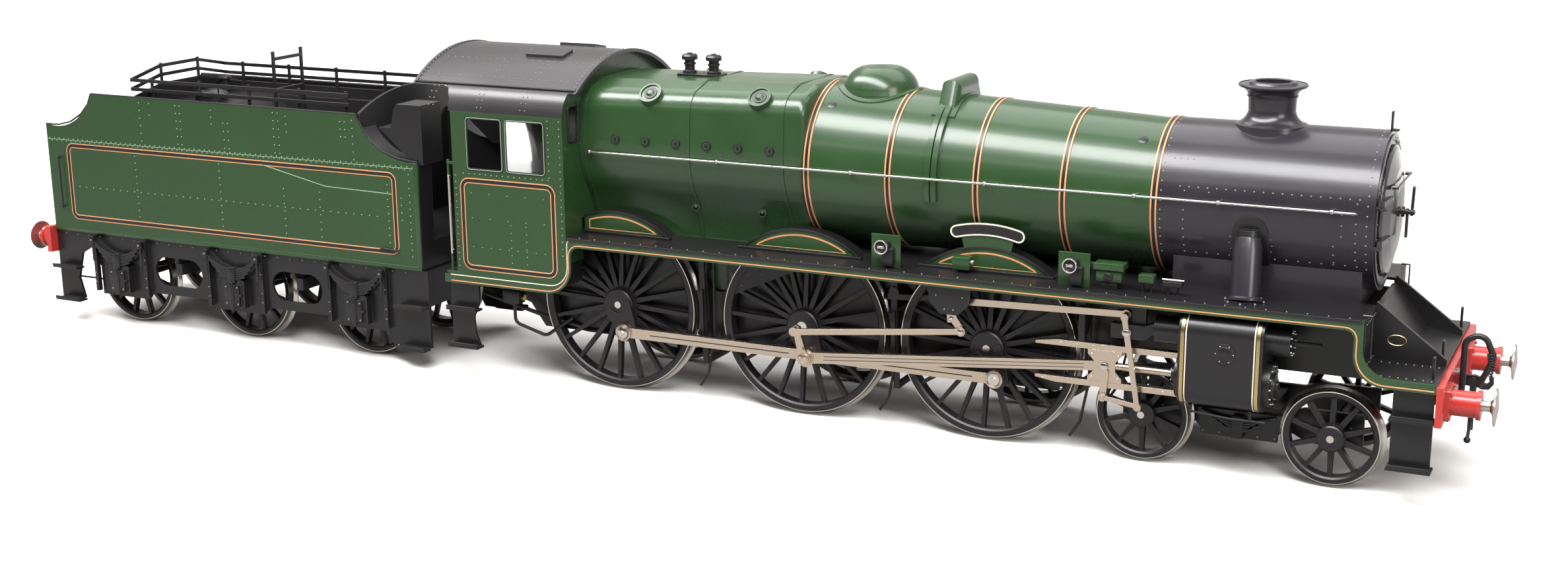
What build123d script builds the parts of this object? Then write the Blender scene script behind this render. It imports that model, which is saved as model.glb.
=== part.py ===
from build123d import *
import os
from math import asin, cos, degrees, radians, sin, sqrt

# Gauge 1 live steam 4-6-0 tender engine, one STEP file per piece, in millimetres.
# +X runs forward to the chimney, +Y to the engine's left side, +Z up. The origin lies under the
# middle of the length over the buffers, on the plane that the wheel flanges stand on.

# ---- driving dimensions -------------------------------------------------------------------------
# The prototype's own figures are in full-size inches, and INCH turns them into model millimetres.
SCALE = 32
INCH = 25.4 / SCALE
FLANGE_DEPTH = 1.2
HALF_LENGTH_INCHES = 381
FRONT_BUFFER_INCHES = 298  # front buffer face, ahead of the driving axle


def along(inches):
    """X of a place given in full-size inches ahead of the driving axle."""
    return (inches - FRONT_BUFFER_INCHES + HALF_LENGTH_INCHES) * INCH


def up(inches):
    """Z of a height given in full-size inches above the rail."""
    return FLANGE_DEPTH + inches * INCH


RIGHT, LEFT = -1, 1
SIDES = {"right": RIGHT, "left": LEFT}

# Axles
X_LEADING, X_DRIVING, X_TRAILING = along(88), along(0), along(-96)
X_BOGIE = {"front": along(235), "rear": along(157)}
X_TENDER_AXLES = {"front": along(-241), "middle": along(-319), "rear": along(-397)}
COUPLED_RADIUS, BOGIE_RADIUS, TENDER_RADIUS = 40.5 * INCH, 19.75 * INCH, 25.5 * INCH
COUPLED_AXLE_RADIUS, SMALL_AXLE_RADIUS = 3.0, 2.4
TYRE_BACK, TYRE_FACE, HUB_FACE, CRANK_FACE = 21.0, 25.6, 26.8, 27.6
Z_COUPLED, Z_BOGIE, Z_TENDER = up(40.5), up(19.75), up(25.5)

# Motion: layers outward from the wheels, as distances from the middle plane
CRANK_THROW = 13 * INCH
CRANK_ANGLES = {"right": -66, "left": 24}
RUNNING = 0.05
SIDE_ROD_INNER, SIDE_ROD_THICK = 27.8, 2.1
MAIN_ROD_INNER, MAIN_ROD_THICK = 30.95, 2.0
RETURN_CRANK_INNER, RETURN_CRANK_THICK = 33.2, 1.4
RADIUS_ROD_INNER, RADIUS_ROD_THICK = 33.6, 0.9
LINK_INNER, LINK_THICK = 34.65, 1.35
ECCENTRIC_ROD_INNER, ECCENTRIC_ROD_THICK = 36.1, 1.1
LEVER_INNER, LEVER_THICK = 35.4, 0.9
UNION_INNER, UNION_THICK = 34.45, 0.8
DROP_ARM_INNER, DROP_ARM_THICK = 33.55, 0.8
CRANKPIN_RADIUS, SMALL_PIN_RADIUS = 1.35, 0.7
MAIN_ROD_LENGTH = 138.5 * INCH
Z_CYLINDER = up(41.6)
CYLINDER_BORE_RADIUS = 8.5 * INCH
PISTON_AHEAD = 54 * INCH
LEVER_PIVOT = (along(153), up(58))
LEVER_LENGTH = 31.9 * INCH
UNION_PIN_AHEAD, UNION_DROP = 15.3 * INCH, 12.9 * INCH
LINK_TRUNNION = (along(76), up(63))
LINK_FOOT = (along(81), up(50.6))
RETURN_CRANK_PIN = (-3.5 * INCH, 13 * INCH)
RADIUS_ROD_FRONT = (along(152), up(65.3))

# Frames, body and boiler
FRAME_INNER, FRAME_THICK = 18.3, 1.5
FRAME_OUTER = FRAME_INNER + FRAME_THICK
HALF_WIDTH = 51 * INCH
SHEET = 1.0
BARREL_REAR, BARREL_FRONT = 2.5, 157
BARREL_RADII = (36.4, 32.0)
BARREL_HEIGHTS = (112.0, 108.5)
SMOKEBOX_FRONT, SMOKEBOX_RADIUS, SMOKEBOX_HEIGHT = 246.4, 32.6, 108.5
BAND_PLACES = (42.0, 82.0, 120.0)
HANDRAIL_Z, HANDRAIL_Y = up(113.8), 30.4
DECK_TOP, DECK_THICK = up(75), 1.0
CAB_REAR, CAB_FRONT = -174, -112.6
BUFFER_Y, BUFFER_Z = 34 * INCH, up(41.5)
BUFFER_TRAVEL = 2.4

# Tender
TANK_REAR, TANK_FRONT = -442, -201
TANK_HALF = 42.5 * INCH
TENDER_FRAME_INNER, TENDER_FRAME_THICK = 31.4, 1.3
DRAWBAR, DRAW_PIN_RADIUS = (along(-190), 0), 1.2

os.makedirs("parts", exist_ok=True)


def save(name, shape):
    """Labels a finished piece and writes its STEP file."""
    shape.label = name
    export_step(shape, f"parts/{name}.step")


def group(*shapes):
    """Several separate solids that share one node."""
    return Compound(children=[solid for shape in shapes for solid in shape.solids()])


def side_plane(side, inner, thick):
    """The plane from which an extrusion of thick fills inner..inner + thick on one side."""
    return Plane.XZ.offset(inner if side == RIGHT else -(inner + thick))


def bar_points(start, end, half_start, half_end):
    """The four corners of a tapered bar between two points of a plane."""
    run_x, run_z = end[0] - start[0], end[1] - start[1]
    length = sqrt(run_x**2 + run_z**2)
    side_x, side_z = -run_z / length, run_x / length
    return [
        (start[0] + side_x * half_start, start[1] + side_z * half_start),
        (start[0] - side_x * half_start, start[1] - side_z * half_start),
        (end[0] - side_x * half_end, end[1] - side_z * half_end),
        (end[0] + side_x * half_end, end[1] + side_z * half_end),
    ]


def rod(side, inner, thick, pins, eyes, halves, bores):
    """A flat rod with a round eye at each pin and a bore through each eye."""
    with BuildPart() as body:
        with BuildSketch(side_plane(side, inner, thick)):
            for start, end in zip(pins, pins[1:]):
                Polygon(*bar_points(start, end, halves[0], halves[1]))
            for pin, eye in zip(pins, eyes):
                with Locations(pin):
                    Circle(eye)
            for pin, bore in zip(pins, bores):
                if bore:
                    with Locations(pin):
                        Circle(bore, mode=Mode.SUBTRACT)
        extrude(amount=thick)
    return body.part


def side_pin(side, place, radius, inner, outer):
    """A round pin across the engine between two distances from the middle plane."""
    with BuildPart() as pin:
        with BuildSketch(side_plane(side, inner, outer - inner)):
            with Locations(place):
                Circle(radius)
        extrude(amount=outer - inner)
    return pin.part


# ---- wheels -------------------------------------------------------------------------------------
def wheel(radius, axle_radius, spokes, hub_radius, rim, spoke_width, crank=False, cap=False, weight=0):
    """A spoked wheel for the right side, centred on the Y axis, its crankpin towards +X.

    weight is how far from the axle the balance weight begins, as a share of the rim's inner radius.
    """
    inside = radius - rim
    tread_back = TYRE_BACK + 1.5
    with BuildPart() as body:
        with BuildSketch(Plane.XY):
            Polygon((inside, -TYRE_BACK), (radius + FLANGE_DEPTH - 0.4, -TYRE_BACK),
                    (radius + FLANGE_DEPTH, -TYRE_BACK - 0.35), (radius + FLANGE_DEPTH, -TYRE_BACK - 0.75),
                    (radius + 0.35, -tread_back), (radius, -tread_back - 0.5),
                    (radius - 0.15, -TYRE_FACE), (inside + 0.6, -TYRE_FACE), (inside, -TYRE_FACE + 0.5))
            Polygon((axle_radius, -TYRE_BACK), (hub_radius, -TYRE_BACK), (hub_radius, -HUB_FACE + 0.4),
                    (hub_radius - 0.5, -HUB_FACE), (axle_radius, -HUB_FACE))
        revolve(axis=Axis.Y)
        for number in range(spokes):
            turn = 360 / spokes * (number + 0.5)
            with BuildSketch(Plane.XZ.offset(TYRE_BACK + 1.3)):
                ends = [(reach * cos(radians(turn)), reach * sin(radians(turn)))
                        for reach in (hub_radius - 0.6, inside + 0.3)]
                Polygon(*bar_points(ends[0], ends[1], spoke_width * 0.62, spoke_width * 0.42))
            extrude(amount=2.2)
        if weight:
            with BuildSketch(Plane.XZ.offset(TYRE_BACK + 1.2)):
                Circle(inside + 0.3)
                with Locations(((2 - weight) * inside, 0)):
                    Rectangle(4 * inside, 4 * inside, mode=Mode.SUBTRACT)
            extrude(amount=2.5)
        if crank:
            with BuildSketch(Plane.XZ.offset(TYRE_BACK + 0.8)):
                with Locations((CRANK_THROW, 0)):
                    Circle(4.1)
                Polygon(*bar_points((0, 0), (CRANK_THROW, 0), hub_radius * 0.95, 4.1))
                Circle(axle_radius, mode=Mode.SUBTRACT)
            extrude(amount=CRANK_FACE - TYRE_BACK - 0.8)
            pin_end = SIDE_ROD_INNER + SIDE_ROD_THICK + 0.1
            with BuildSketch(Plane.XZ.offset(CRANK_FACE)):
                with Locations((CRANK_THROW, 0)):
                    Circle(CRANKPIN_RADIUS)
            extrude(amount=pin_end - CRANK_FACE)
            if cap:
                with BuildSketch(Plane.XZ.offset(pin_end)):
                    with Locations((CRANK_THROW, 0)):
                        Circle(2.2)
                extrude(amount=0.6)
    return body.part


def wheelset(name, axle_x, axle_z, right_wheel, axle_radius, axle_end, turns):
    """Two wheels pressed on an axle, as three solids in one node."""
    with BuildPart() as axle:
        with BuildSketch(Plane.XZ.offset(-axle_end)):
            with Locations((axle_x, axle_z)):
                Circle(axle_radius)
        extrude(amount=2 * axle_end)
    place = Pos(axle_x, 0, axle_z)
    near = place * Rot(0, turns[0], 0) * right_wheel
    far = place * Rot(0, turns[1], 0) * Rot(0, 0, 180) * right_wheel
    save(name, group(near, far, axle.part))


coupled_turns = (-CRANK_ANGLES["right"], 180 - CRANK_ANGLES["left"])
coupled_shape = (COUPLED_RADIUS, COUPLED_AXLE_RADIUS, 20, 7.8 * INCH, 2.9, 1.5)
capped_wheel = wheel(*coupled_shape, crank=True, cap=True)
driving_wheel = wheel(*coupled_shape, crank=True, weight=0.66)
bogie_wheel = wheel(BOGIE_RADIUS, SMALL_AXLE_RADIUS, 10, 5.6 * INCH, 2.4, 1.5)
tender_wheel = wheel(TENDER_RADIUS, SMALL_AXLE_RADIUS, 12, 5.6 * INCH, 2.4, 1.6)
wheelset("driving_wheels", X_DRIVING, Z_COUPLED, driving_wheel, COUPLED_AXLE_RADIUS, HUB_FACE, coupled_turns)
for name, axle_x in (("leading_wheels", X_LEADING), ("trailing_wheels", X_TRAILING)):
    wheelset(name, axle_x, Z_COUPLED, capped_wheel, COUPLED_AXLE_RADIUS, HUB_FACE, coupled_turns)
for place, axle_x in X_BOGIE.items():
    wheelset(f"bogie_wheels_{place}", axle_x, Z_BOGIE, bogie_wheel, SMALL_AXLE_RADIUS, HUB_FACE, (0, 0))
TENDER_JOURNAL_END = TENDER_FRAME_INNER + TENDER_FRAME_THICK + 1.2
for place, axle_x in X_TENDER_AXLES.items():
    wheelset(f"tender_wheels_{place}", axle_x, Z_TENDER, tender_wheel, SMALL_AXLE_RADIUS,
             TENDER_JOURNAL_END, (0, 0))


# ---- coupling rods, connecting rods and crossheads ----------------------------------------------
def crankpin(side_name, axle_x):
    """Where a crankpin stands at rest."""
    angle = radians(CRANK_ANGLES[side_name])
    return (axle_x + CRANK_THROW * cos(angle), Z_COUPLED + CRANK_THROW * sin(angle))


def gudgeon(side_name):
    """Where the crosshead's gudgeon pin stands at rest."""
    pin_x, pin_z = crankpin(side_name, X_DRIVING)
    return (pin_x + sqrt(MAIN_ROD_LENGTH**2 - (Z_CYLINDER - pin_z) ** 2), Z_CYLINDER)


CROSSHEAD_HALF_GAP = 6.8 * INCH
CROSSHEAD_HALF_LENGTH, CROSSHEAD_WAIST = 7.3 * INCH, 4.6 * INCH
CHEEK_INNER, CHEEK_OUTER = 30.0, 33.5
for side_name, side in SIDES.items():
    pins = [crankpin(side_name, axle_x) for axle_x in (X_TRAILING, X_DRIVING, X_LEADING)]
    side_rod = rod(side, SIDE_ROD_INNER, SIDE_ROD_THICK, pins, (3.1, 3.3, 3.1), (1.9, 1.9),
                   [CRANKPIN_RADIUS + RUNNING] * 3)
    save(f"coupling_rods_{side_name}", side_rod)

    big_end, small_end = crankpin(side_name, X_DRIVING), gudgeon(side_name)
    main_rod = rod(side, MAIN_ROD_INNER, MAIN_ROD_THICK, [big_end, small_end], (3.4, 2.7), (2.0, 1.6),
                   (0, SMALL_PIN_RADIUS + RUNNING + 0.4))
    big_end_cap = side_pin(side, big_end, 2.9, MAIN_ROD_INNER + MAIN_ROD_THICK, RETURN_CRANK_INNER)
    crank_pin_end = (big_end[0] + RETURN_CRANK_PIN[0], big_end[1] + RETURN_CRANK_PIN[1])
    return_crank = rod(side, RETURN_CRANK_INNER, RETURN_CRANK_THICK, [big_end, crank_pin_end], (2.6, 1.7),
                       (1.7, 1.2), (0, 0))
    return_pin = side_pin(side, crank_pin_end, 0.8, RETURN_CRANK_INNER + RETURN_CRANK_THICK,
                          ECCENTRIC_ROD_INNER - 0.1)
    with BuildPart() as rod_with_crank:
        add(main_rod)
        add(big_end_cap)
        add(return_crank)
        add(return_pin)
    save(f"connecting_rod_{side_name}", rod_with_crank.part)

    pin_x, pin_z = small_end
    with BuildPart() as crosshead:
        with BuildSketch(side_plane(side, CHEEK_INNER, CHEEK_OUTER - CHEEK_INNER)):
            corner, waist = CROSSHEAD_HALF_LENGTH, CROSSHEAD_WAIST
            top, shoulder = CROSSHEAD_HALF_GAP - RUNNING, CROSSHEAD_HALF_GAP - 1.5
            Polygon(*[(pin_x + sx * px, pin_z + sz * pz)
                      for sx, sz, outline in ((-1, -1, ((waist, 0), (waist, 1.6), (corner, shoulder),
                                                        (corner, top))),
                                              (1, -1, ((corner, top), (corner, shoulder), (waist, 1.6),
                                                       (waist, 0))),
                                              (1, 1, ((waist, 1.6), (corner, shoulder), (corner, top))),
                                              (-1, 1, ((corner, top), (corner, shoulder), (waist, 1.6))))
                      for px, pz in outline])
        extrude(amount=CHEEK_OUTER - CHEEK_INNER)
        slot_inner = MAIN_ROD_INNER - 0.1
        with BuildSketch(side_plane(side, slot_inner, MAIN_ROD_THICK + 0.2)):
            Polygon((pin_x - 2 * corner, pin_z - 4.6), (pin_x + 3.1, pin_z - 4.6),
                    (pin_x + 3.1, pin_z + 4.6), (pin_x - 2 * corner, pin_z + 4.6))
        extrude(amount=MAIN_ROD_THICK + 0.2, mode=Mode.SUBTRACT)
        add(side_pin(side, small_end, SMALL_PIN_RADIUS + 0.4, CHEEK_INNER, CHEEK_OUTER + 0.35))
        # The drop arm hangs outside the lower slide bar and carries the union link's pin.
        foot = (pin_x, pin_z - UNION_DROP)
        add(rod(side, DROP_ARM_INNER - 0.05, DROP_ARM_THICK, [(pin_x, pin_z - 2.2), foot], (1.6, 1.4),
                (1.5, 1.0),
                (0, 0)))
        add(side_pin(side, foot, SMALL_PIN_RADIUS, DROP_ARM_INNER, UNION_INNER + UNION_THICK + 0.1))
        # Piston rod and piston
        with BuildSketch(Plane.YZ.offset(pin_x + 3.1)):
            with Locations((side * 31.95, pin_z)):
                Circle(1.25)
        extrude(amount=PISTON_AHEAD - 2.5)
        with BuildSketch(Plane.YZ.offset(pin_x + PISTON_AHEAD - 1.5)):
            with Locations((side * 31.95, pin_z)):
                Circle(CYLINDER_BORE_RADIUS - RUNNING)
        extrude(amount=3.0)
    save(f"crosshead_{side_name}", crosshead.part)

    lean = asin((pin_x + UNION_PIN_AHEAD - LEVER_PIVOT[0]) / LEVER_LENGTH)
    lever_foot = (LEVER_PIVOT[0] + LEVER_LENGTH * sin(lean), LEVER_PIVOT[1] - LEVER_LENGTH * cos(lean))
    lever_head = (LEVER_PIVOT[0] - 6.5 * INCH * sin(lean), LEVER_PIVOT[1] + 6.5 * INCH * cos(lean))
    lever = rod(side, LEVER_INNER, LEVER_THICK, [lever_head, LEVER_PIVOT, lever_foot], (1.3, 1.5, 1.3),
                (1.0, 0.85),
                (0, SMALL_PIN_RADIUS + RUNNING, 0))
    save(f"combination_lever_{side_name}", lever)

    link_front = (lever_foot[0] - 0.15, lever_foot[1])
    union = rod(side, UNION_INNER, UNION_THICK, [foot, link_front], (1.4, 1.4), (0.8, 0.8),
                (SMALL_PIN_RADIUS + RUNNING, 0))
    save(f"union_link_{side_name}", union)

    # ---- expansion link and eccentric rod
    trunnion_x, trunnion_z = LINK_TRUNNION
    with BuildPart() as link:
        with BuildSketch(side_plane(side, LINK_INNER, LINK_THICK)):
            arc_radius = 70 * INCH
            reach = degrees(9.0 * INCH / arc_radius)
            centre_x = trunnion_x + arc_radius
            with BuildLine():
                rear_arc = CenterArc((centre_x, trunnion_z), arc_radius + 1.7, 180 - reach, 2 * reach)
                front_arc = CenterArc((centre_x, trunnion_z), arc_radius - 1.7, 180 - reach, 2 * reach)
                Line(rear_arc @ 0, front_arc @ 0)
                Line(rear_arc @ 1, front_arc @ 1)
            make_face()
            Polygon(*bar_points((trunnion_x, trunnion_z - 6 * INCH), LINK_FOOT, 1.4, 1.2))
            for place, radius in ((LINK_TRUNNION, 2.1), (LINK_FOOT, 1.5)):
                with Locations(place):
                    Circle(radius)
            for place in (LINK_TRUNNION, LINK_FOOT):
                with Locations(place):
                    Circle(SMALL_PIN_RADIUS + RUNNING, mode=Mode.SUBTRACT)
        extrude(amount=LINK_THICK)
    save(f"expansion_link_{side_name}", link.part)

    # The rod's own pin turns in the link's foot.
    eccentric = rod(side, ECCENTRIC_ROD_INNER, ECCENTRIC_ROD_THICK, [crank_pin_end, LINK_FOOT], (1.6, 1.6),
                    (1.1, 1.0), (0, 0))
    with BuildPart() as eccentric_rod:
        add(eccentric)
        add(side_pin(side, LINK_FOOT, SMALL_PIN_RADIUS, LINK_INNER, ECCENTRIC_ROD_INNER))
    save(f"eccentric_rod_{side_name}", eccentric_rod.part)

RADIUS_ROD_REAR = (LINK_TRUNNION[0] - 3 * INCH, LINK_TRUNNION[1])
save("radius_rods", group(*[
    rod(side, RADIUS_ROD_INNER, RADIUS_ROD_THICK, [RADIUS_ROD_REAR, RADIUS_ROD_FRONT], (1.5, 1.5),
        (1.2, 1.1),
        (0, SMALL_PIN_RADIUS + RUNNING)) for side in SIDES.values()]))


# ---- frames, stretchers and axleboxes -----------------------------------------------------------
BOX_HALF = 3.9
with BuildPart() as main_frames:
    with BuildSketch(side_plane(RIGHT, FRAME_INNER, FRAME_THICK)):
        outline = ((-178, 51.3), (-178, 42), (-150, 34), (-142, 23), (118, 23), (124, 44), (262, 44),
                   (276.4, 38), (276.4, 55.5), (248.5, 76.5), (247.6, 71), (-110, 71), (-110, 51.3))
        Polygon(*[(along(px), up(pz)) for px, pz in outline])
        for axle_x in (X_TRAILING, X_DRIVING, X_LEADING):
            with Locations((axle_x, up(34))):
                Rectangle(2 * BOX_HALF, up(46.5) - up(21.5), mode=Mode.SUBTRACT)
        for hole_x, hole_radius in ((-155, 5.5), (-46, 7), (44, 7), (150, 6)):
            with Locations((along(hole_x), up(57))):
                Circle(hole_radius * INCH, mode=Mode.SUBTRACT)
    extrude(amount=FRAME_THICK)
    mirror(about=Plane.XZ)
save("main_frames", main_frames.part)

PIVOT_X, PIVOT_RADIUS = along(196), 3.0
with BuildPart() as frame_stretchers:
    # Drag box, firebox support, motion plate, cylinder stretcher with the bogie pivot, front stretcher
    for start, stop, low, high in ((-177, -166, 42, 50.3), (-61, -58, 26, 32), (38, 41, 50, 70),
                                   (131, 134, 46, 70), (182, 206, 46, 70)):
        with BuildSketch(Plane.YZ.offset(along(start))):
            with Locations((0, (up(low) + up(high)) / 2)):
                Rectangle(2 * FRAME_INNER, up(high) - up(low))
        extrude(amount=(stop - start) * INCH)
    with BuildSketch(Plane.XY.offset(up(22))):
        with Locations((PIVOT_X, 0)):
            Circle(PIVOT_RADIUS)
    extrude(amount=up(46) - up(22))
    # Drawbar bracket behind the drag box, with the pin that the tender pulls on
    with BuildSketch(Plane.XY.offset(up(46))):
        with Locations((along(-184.5), 0)):
            Rectangle(16 * INCH, 8.0)
    extrude(amount=1.6)
    with BuildSketch(Plane.XY.offset(up(38))):
        with Locations(DRAWBAR):
            Circle(DRAW_PIN_RADIUS)
    extrude(amount=up(46) - up(38))

BOX_TOP, BOX_BOTTOM = up(46.3), up(25)
axlebox_solids = []
for axle_x in (X_TRAILING, X_DRIVING, X_LEADING):
    with BuildPart() as axlebox:
        with BuildSketch(side_plane(RIGHT, FRAME_INNER - 1.2, FRAME_THICK + 2.0)):
            with Locations((axle_x, (BOX_TOP + BOX_BOTTOM) / 2)):
                Rectangle(2 * BOX_HALF - 0.1, BOX_TOP - BOX_BOTTOM)
            with Locations((axle_x, Z_COUPLED)):
                Circle(COUPLED_AXLE_RADIUS + RUNNING, mode=Mode.SUBTRACT)
        extrude(amount=FRAME_THICK + 2.0)
        mirror(about=Plane.XZ)
    axlebox_solids.append(axlebox.part)

# ---- running plate, valances and splashers ------------------------------------------------------
WHEEL_SLOT_HALF = 29 * INCH
SPLASHER_FACE, SPLASHER_THICK = 26.6, 0.7
DECK_EDGE = HALF_WIDTH + 0.4
with BuildPart() as running_plate:
    with BuildSketch(Plane.XY.offset(DECK_TOP - DECK_THICK)):
        with Locations(((along(-112.4) + along(247.4)) / 2, -(FRAME_OUTER + DECK_EDGE) / 2)):
            Rectangle(along(247.4) - along(-112.4), DECK_EDGE - FRAME_OUTER)
        for axle_x in (X_TRAILING, X_DRIVING, X_LEADING):
            with Locations((axle_x, -(FRAME_OUTER + SPLASHER_FACE) / 2)):
                Rectangle(2 * WHEEL_SLOT_HALF, SPLASHER_FACE - FRAME_OUTER + 0.02, mode=Mode.SUBTRACT)
    extrude(amount=DECK_THICK)
    mirror(about=Plane.XZ)
    # Cover between the frames, under the barrel
    with BuildSketch(Plane.XY.offset(DECK_TOP - DECK_THICK)):
        with Locations(((along(3.2) + along(165.5)) / 2, 0)):
            Rectangle(along(165.5) - along(3.2), 2 * FRAME_OUTER + 0.2)
    extrude(amount=DECK_THICK)
save("running_plate", running_plate.part)

VALANCE_THICK = 0.9
with BuildPart() as valances:
    with BuildSketch(side_plane(RIGHT, HALF_WIDTH - VALANCE_THICK, VALANCE_THICK)):
        # Rear: the drop under the cab, with its rounded corner and the small sweep up to the deck
        with BuildLine():
            rear = Line((along(-181.5), up(51.3)), (along(-181.5), up(47.2)))
            bottom = Line(rear @ 1, (along(-124), up(47.2)))
            corner = TangentArc(bottom @ 1, (along(-110.5), up(60.7)), tangent=(1, 0))
            post = Line(corner @ 1, (along(-110.5), up(66)))
            sweep_up = TangentArc(post @ 1, (along(-106), up(70.5)), tangent=(0, 1))
            under = Line(sweep_up @ 1, (along(241), up(70.5)))
            fall = TangentArc(under @ 1, (along(244.5), up(67)), tangent=(1, 0))
            front_post = Line(fall @ 1, (along(244.5), up(61.2)))
            front_sweep = TangentArc(front_post @ 1, (along(257), up(48.7)), tangent=(0, -1))
            front_bottom = Line(front_sweep @ 1, (along(276.4), up(48.7)))
            front_end = Line(front_bottom @ 1, (along(276.4), up(52.6)))
            front_top = Line(front_end @ 1, (along(259), up(52.6)))
            inner_sweep = TangentArc(front_top @ 1, (along(248), up(63.6)), tangent=(-1, 0))
            inner_post = Line(inner_sweep @ 1, (along(248), DECK_TOP))
            nose = Line(inner_post @ 1, (along(247.4), DECK_TOP))
            nose_down = Line(nose @ 1, (along(247.4), DECK_TOP - DECK_THICK))
            deck_line = Line(nose_down @ 1, (along(-112.4), DECK_TOP - DECK_THICK))
            cab_front = Line(deck_line @ 1, (along(-112.4), up(61)))
            cab_corner = TangentArc(cab_front @ 1, (along(-122.1), up(51.3)), tangent=(0, -1))
            Line(cab_corner @ 1, rear @ 0)
        make_face()
    extrude(amount=VALANCE_THICK)
    mirror(about=Plane.XZ)
save("valances", valances.part)


def splasher(axle_x, radius):
    """Face and curved top over one coupled wheel, right side; the face's foot is on the deck."""
    inner_wall = 20.9
    with BuildPart() as cover:
        with BuildSketch(side_plane(RIGHT, inner_wall, SPLASHER_FACE + SPLASHER_THICK - inner_wall)):
            with Locations((axle_x, Z_COUPLED)):
                Circle(radius)
            with Locations((axle_x, DECK_TOP - radius)):
                Rectangle(4 * radius, 2 * radius, mode=Mode.SUBTRACT)
        extrude(amount=SPLASHER_FACE + SPLASHER_THICK - inner_wall)
        with BuildSketch(side_plane(RIGHT, inner_wall - 0.5, SPLASHER_FACE - inner_wall + 0.5)):
            with Locations((axle_x, Z_COUPLED)):
                Circle(radius - 0.7)
        extrude(amount=SPLASHER_FACE - inner_wall + 0.5, mode=Mode.SUBTRACT)
    return cover.part


SPLASHER_RADIUS = 45 * INCH
PLATE_REACH = (50 * INCH, 55.8 * INCH)
PLATE_HALF_ANGLE = 15.4
PLATE_OUT = SPLASHER_FACE + 0.1
with BuildPart() as nameplate:
    with BuildSketch(side_plane(RIGHT, PLATE_OUT, 0.9)):
        with BuildLine():
            middle = (X_LEADING, Z_COUPLED)
            inner_edge = CenterArc(middle, PLATE_REACH[0], 90 - PLATE_HALF_ANGLE, 2 * PLATE_HALF_ANGLE)
            outer_edge = CenterArc(middle, PLATE_REACH[1], 90 - PLATE_HALF_ANGLE, 2 * PLATE_HALF_ANGLE)
            half_plate = (PLATE_REACH[1] - PLATE_REACH[0]) / 2
            mean = (PLATE_REACH[0] + PLATE_REACH[1]) / 2
            for end, turn in ((0, -1), (1, 1)):
                lean = radians(90 + turn * (PLATE_HALF_ANGLE + degrees(half_plate / mean)))
                tip = (X_LEADING + mean * cos(lean), Z_COUPLED + mean * sin(lean))
                ThreePointArc(inner_edge @ end, tip, outer_edge @ end)
        make_face()
    extrude(amount=0.9)
    # A narrow backing strip stands the plate on the splasher.
    with BuildSketch(side_plane(RIGHT, SPLASHER_FACE, 0.7)):
        with BuildLine():
            strip_inner = CenterArc(middle, SPLASHER_RADIUS + 0.01, 90 - 13.5, 27)
            strip_outer = CenterArc(middle, PLATE_REACH[0] + 0.4, 90 - 13.5, 27)
            Line(strip_inner @ 0, strip_outer @ 0)
            Line(strip_inner @ 1, strip_outer @ 1)
        make_face()
    extrude(amount=0.7)

right_covers = [splasher(X_DRIVING, SPLASHER_RADIUS), splasher(X_LEADING, SPLASHER_RADIUS)]
with BuildPart() as trailing_cover:
    add(splasher(X_TRAILING, SPLASHER_RADIUS))
    with Locations((along(CAB_FRONT) - 50 + 0.3, 0, 0)):
        Box(100, 200, 300, mode=Mode.SUBTRACT)
right_covers.append(trailing_cover.part)
left_covers = [cover.mirror(Plane.XZ) for cover in right_covers]
save("splashers", group(*right_covers, *left_covers, nameplate.part, nameplate.part.mirror(Plane.XZ)))

# ---- front platform, steps and buffer beam ------------------------------------------------------
with BuildPart() as front_platform:
    with BuildSketch(Plane.XY.offset(up(51.6))):
        with Locations((along(262.2), -(FRAME_OUTER + HALF_WIDTH - VALANCE_THICK) / 2)):
            Rectangle(28.4 * INCH, HALF_WIDTH - VALANCE_THICK - FRAME_OUTER)
    extrude(amount=1.0)
    # Wall from the platform up to the running plate
    with BuildSketch(Plane.YZ.offset(along(247.4))):
        with Locations((-(FRAME_OUTER + HALF_WIDTH - VALANCE_THICK) / 2, (up(51.6) + DECK_TOP) / 2)):
            Rectangle(HALF_WIDTH - VALANCE_THICK - FRAME_OUTER, DECK_TOP - up(51.6))
    extrude(amount=0.9)
    # Steps down to the rail
    with BuildSketch(side_plane(RIGHT, 36.4, 1.0)):
        Polygon(*[(along(px), up(pz)) for px, pz in ((260, 51.6), (260, 17), (275.5, 17), (275.5, 51.6))])
    extrude(amount=1.0)
    for height in (16, 36):
        with BuildSketch(Plane.XY.offset(up(height))):
            with Locations((along(267.8), -37.6)):
                Rectangle(17 * INCH, 6.4)
        extrude(amount=0.8)
    mirror(about=Plane.XZ)
    # Sloping cover between the frames
    with BuildSketch(Plane.XZ.offset(-FRAME_INNER)):
        Polygon(*[(along(px), up(pz)) for px, pz in
                  ((247, 73), (249, 73), (263, 56), (276.4, 53.5), (276.4, 52.2), (262, 54.5), (247, 71.5))])
    extrude(amount=2 * FRAME_INNER)

SHANK_RADIUS, SHANK_REACH = 1.7, 10.0
STOCK_MOUTH = HALF_LENGTH_INCHES * INCH - 2.6 - BUFFER_TRAVEL - 0.1


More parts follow.
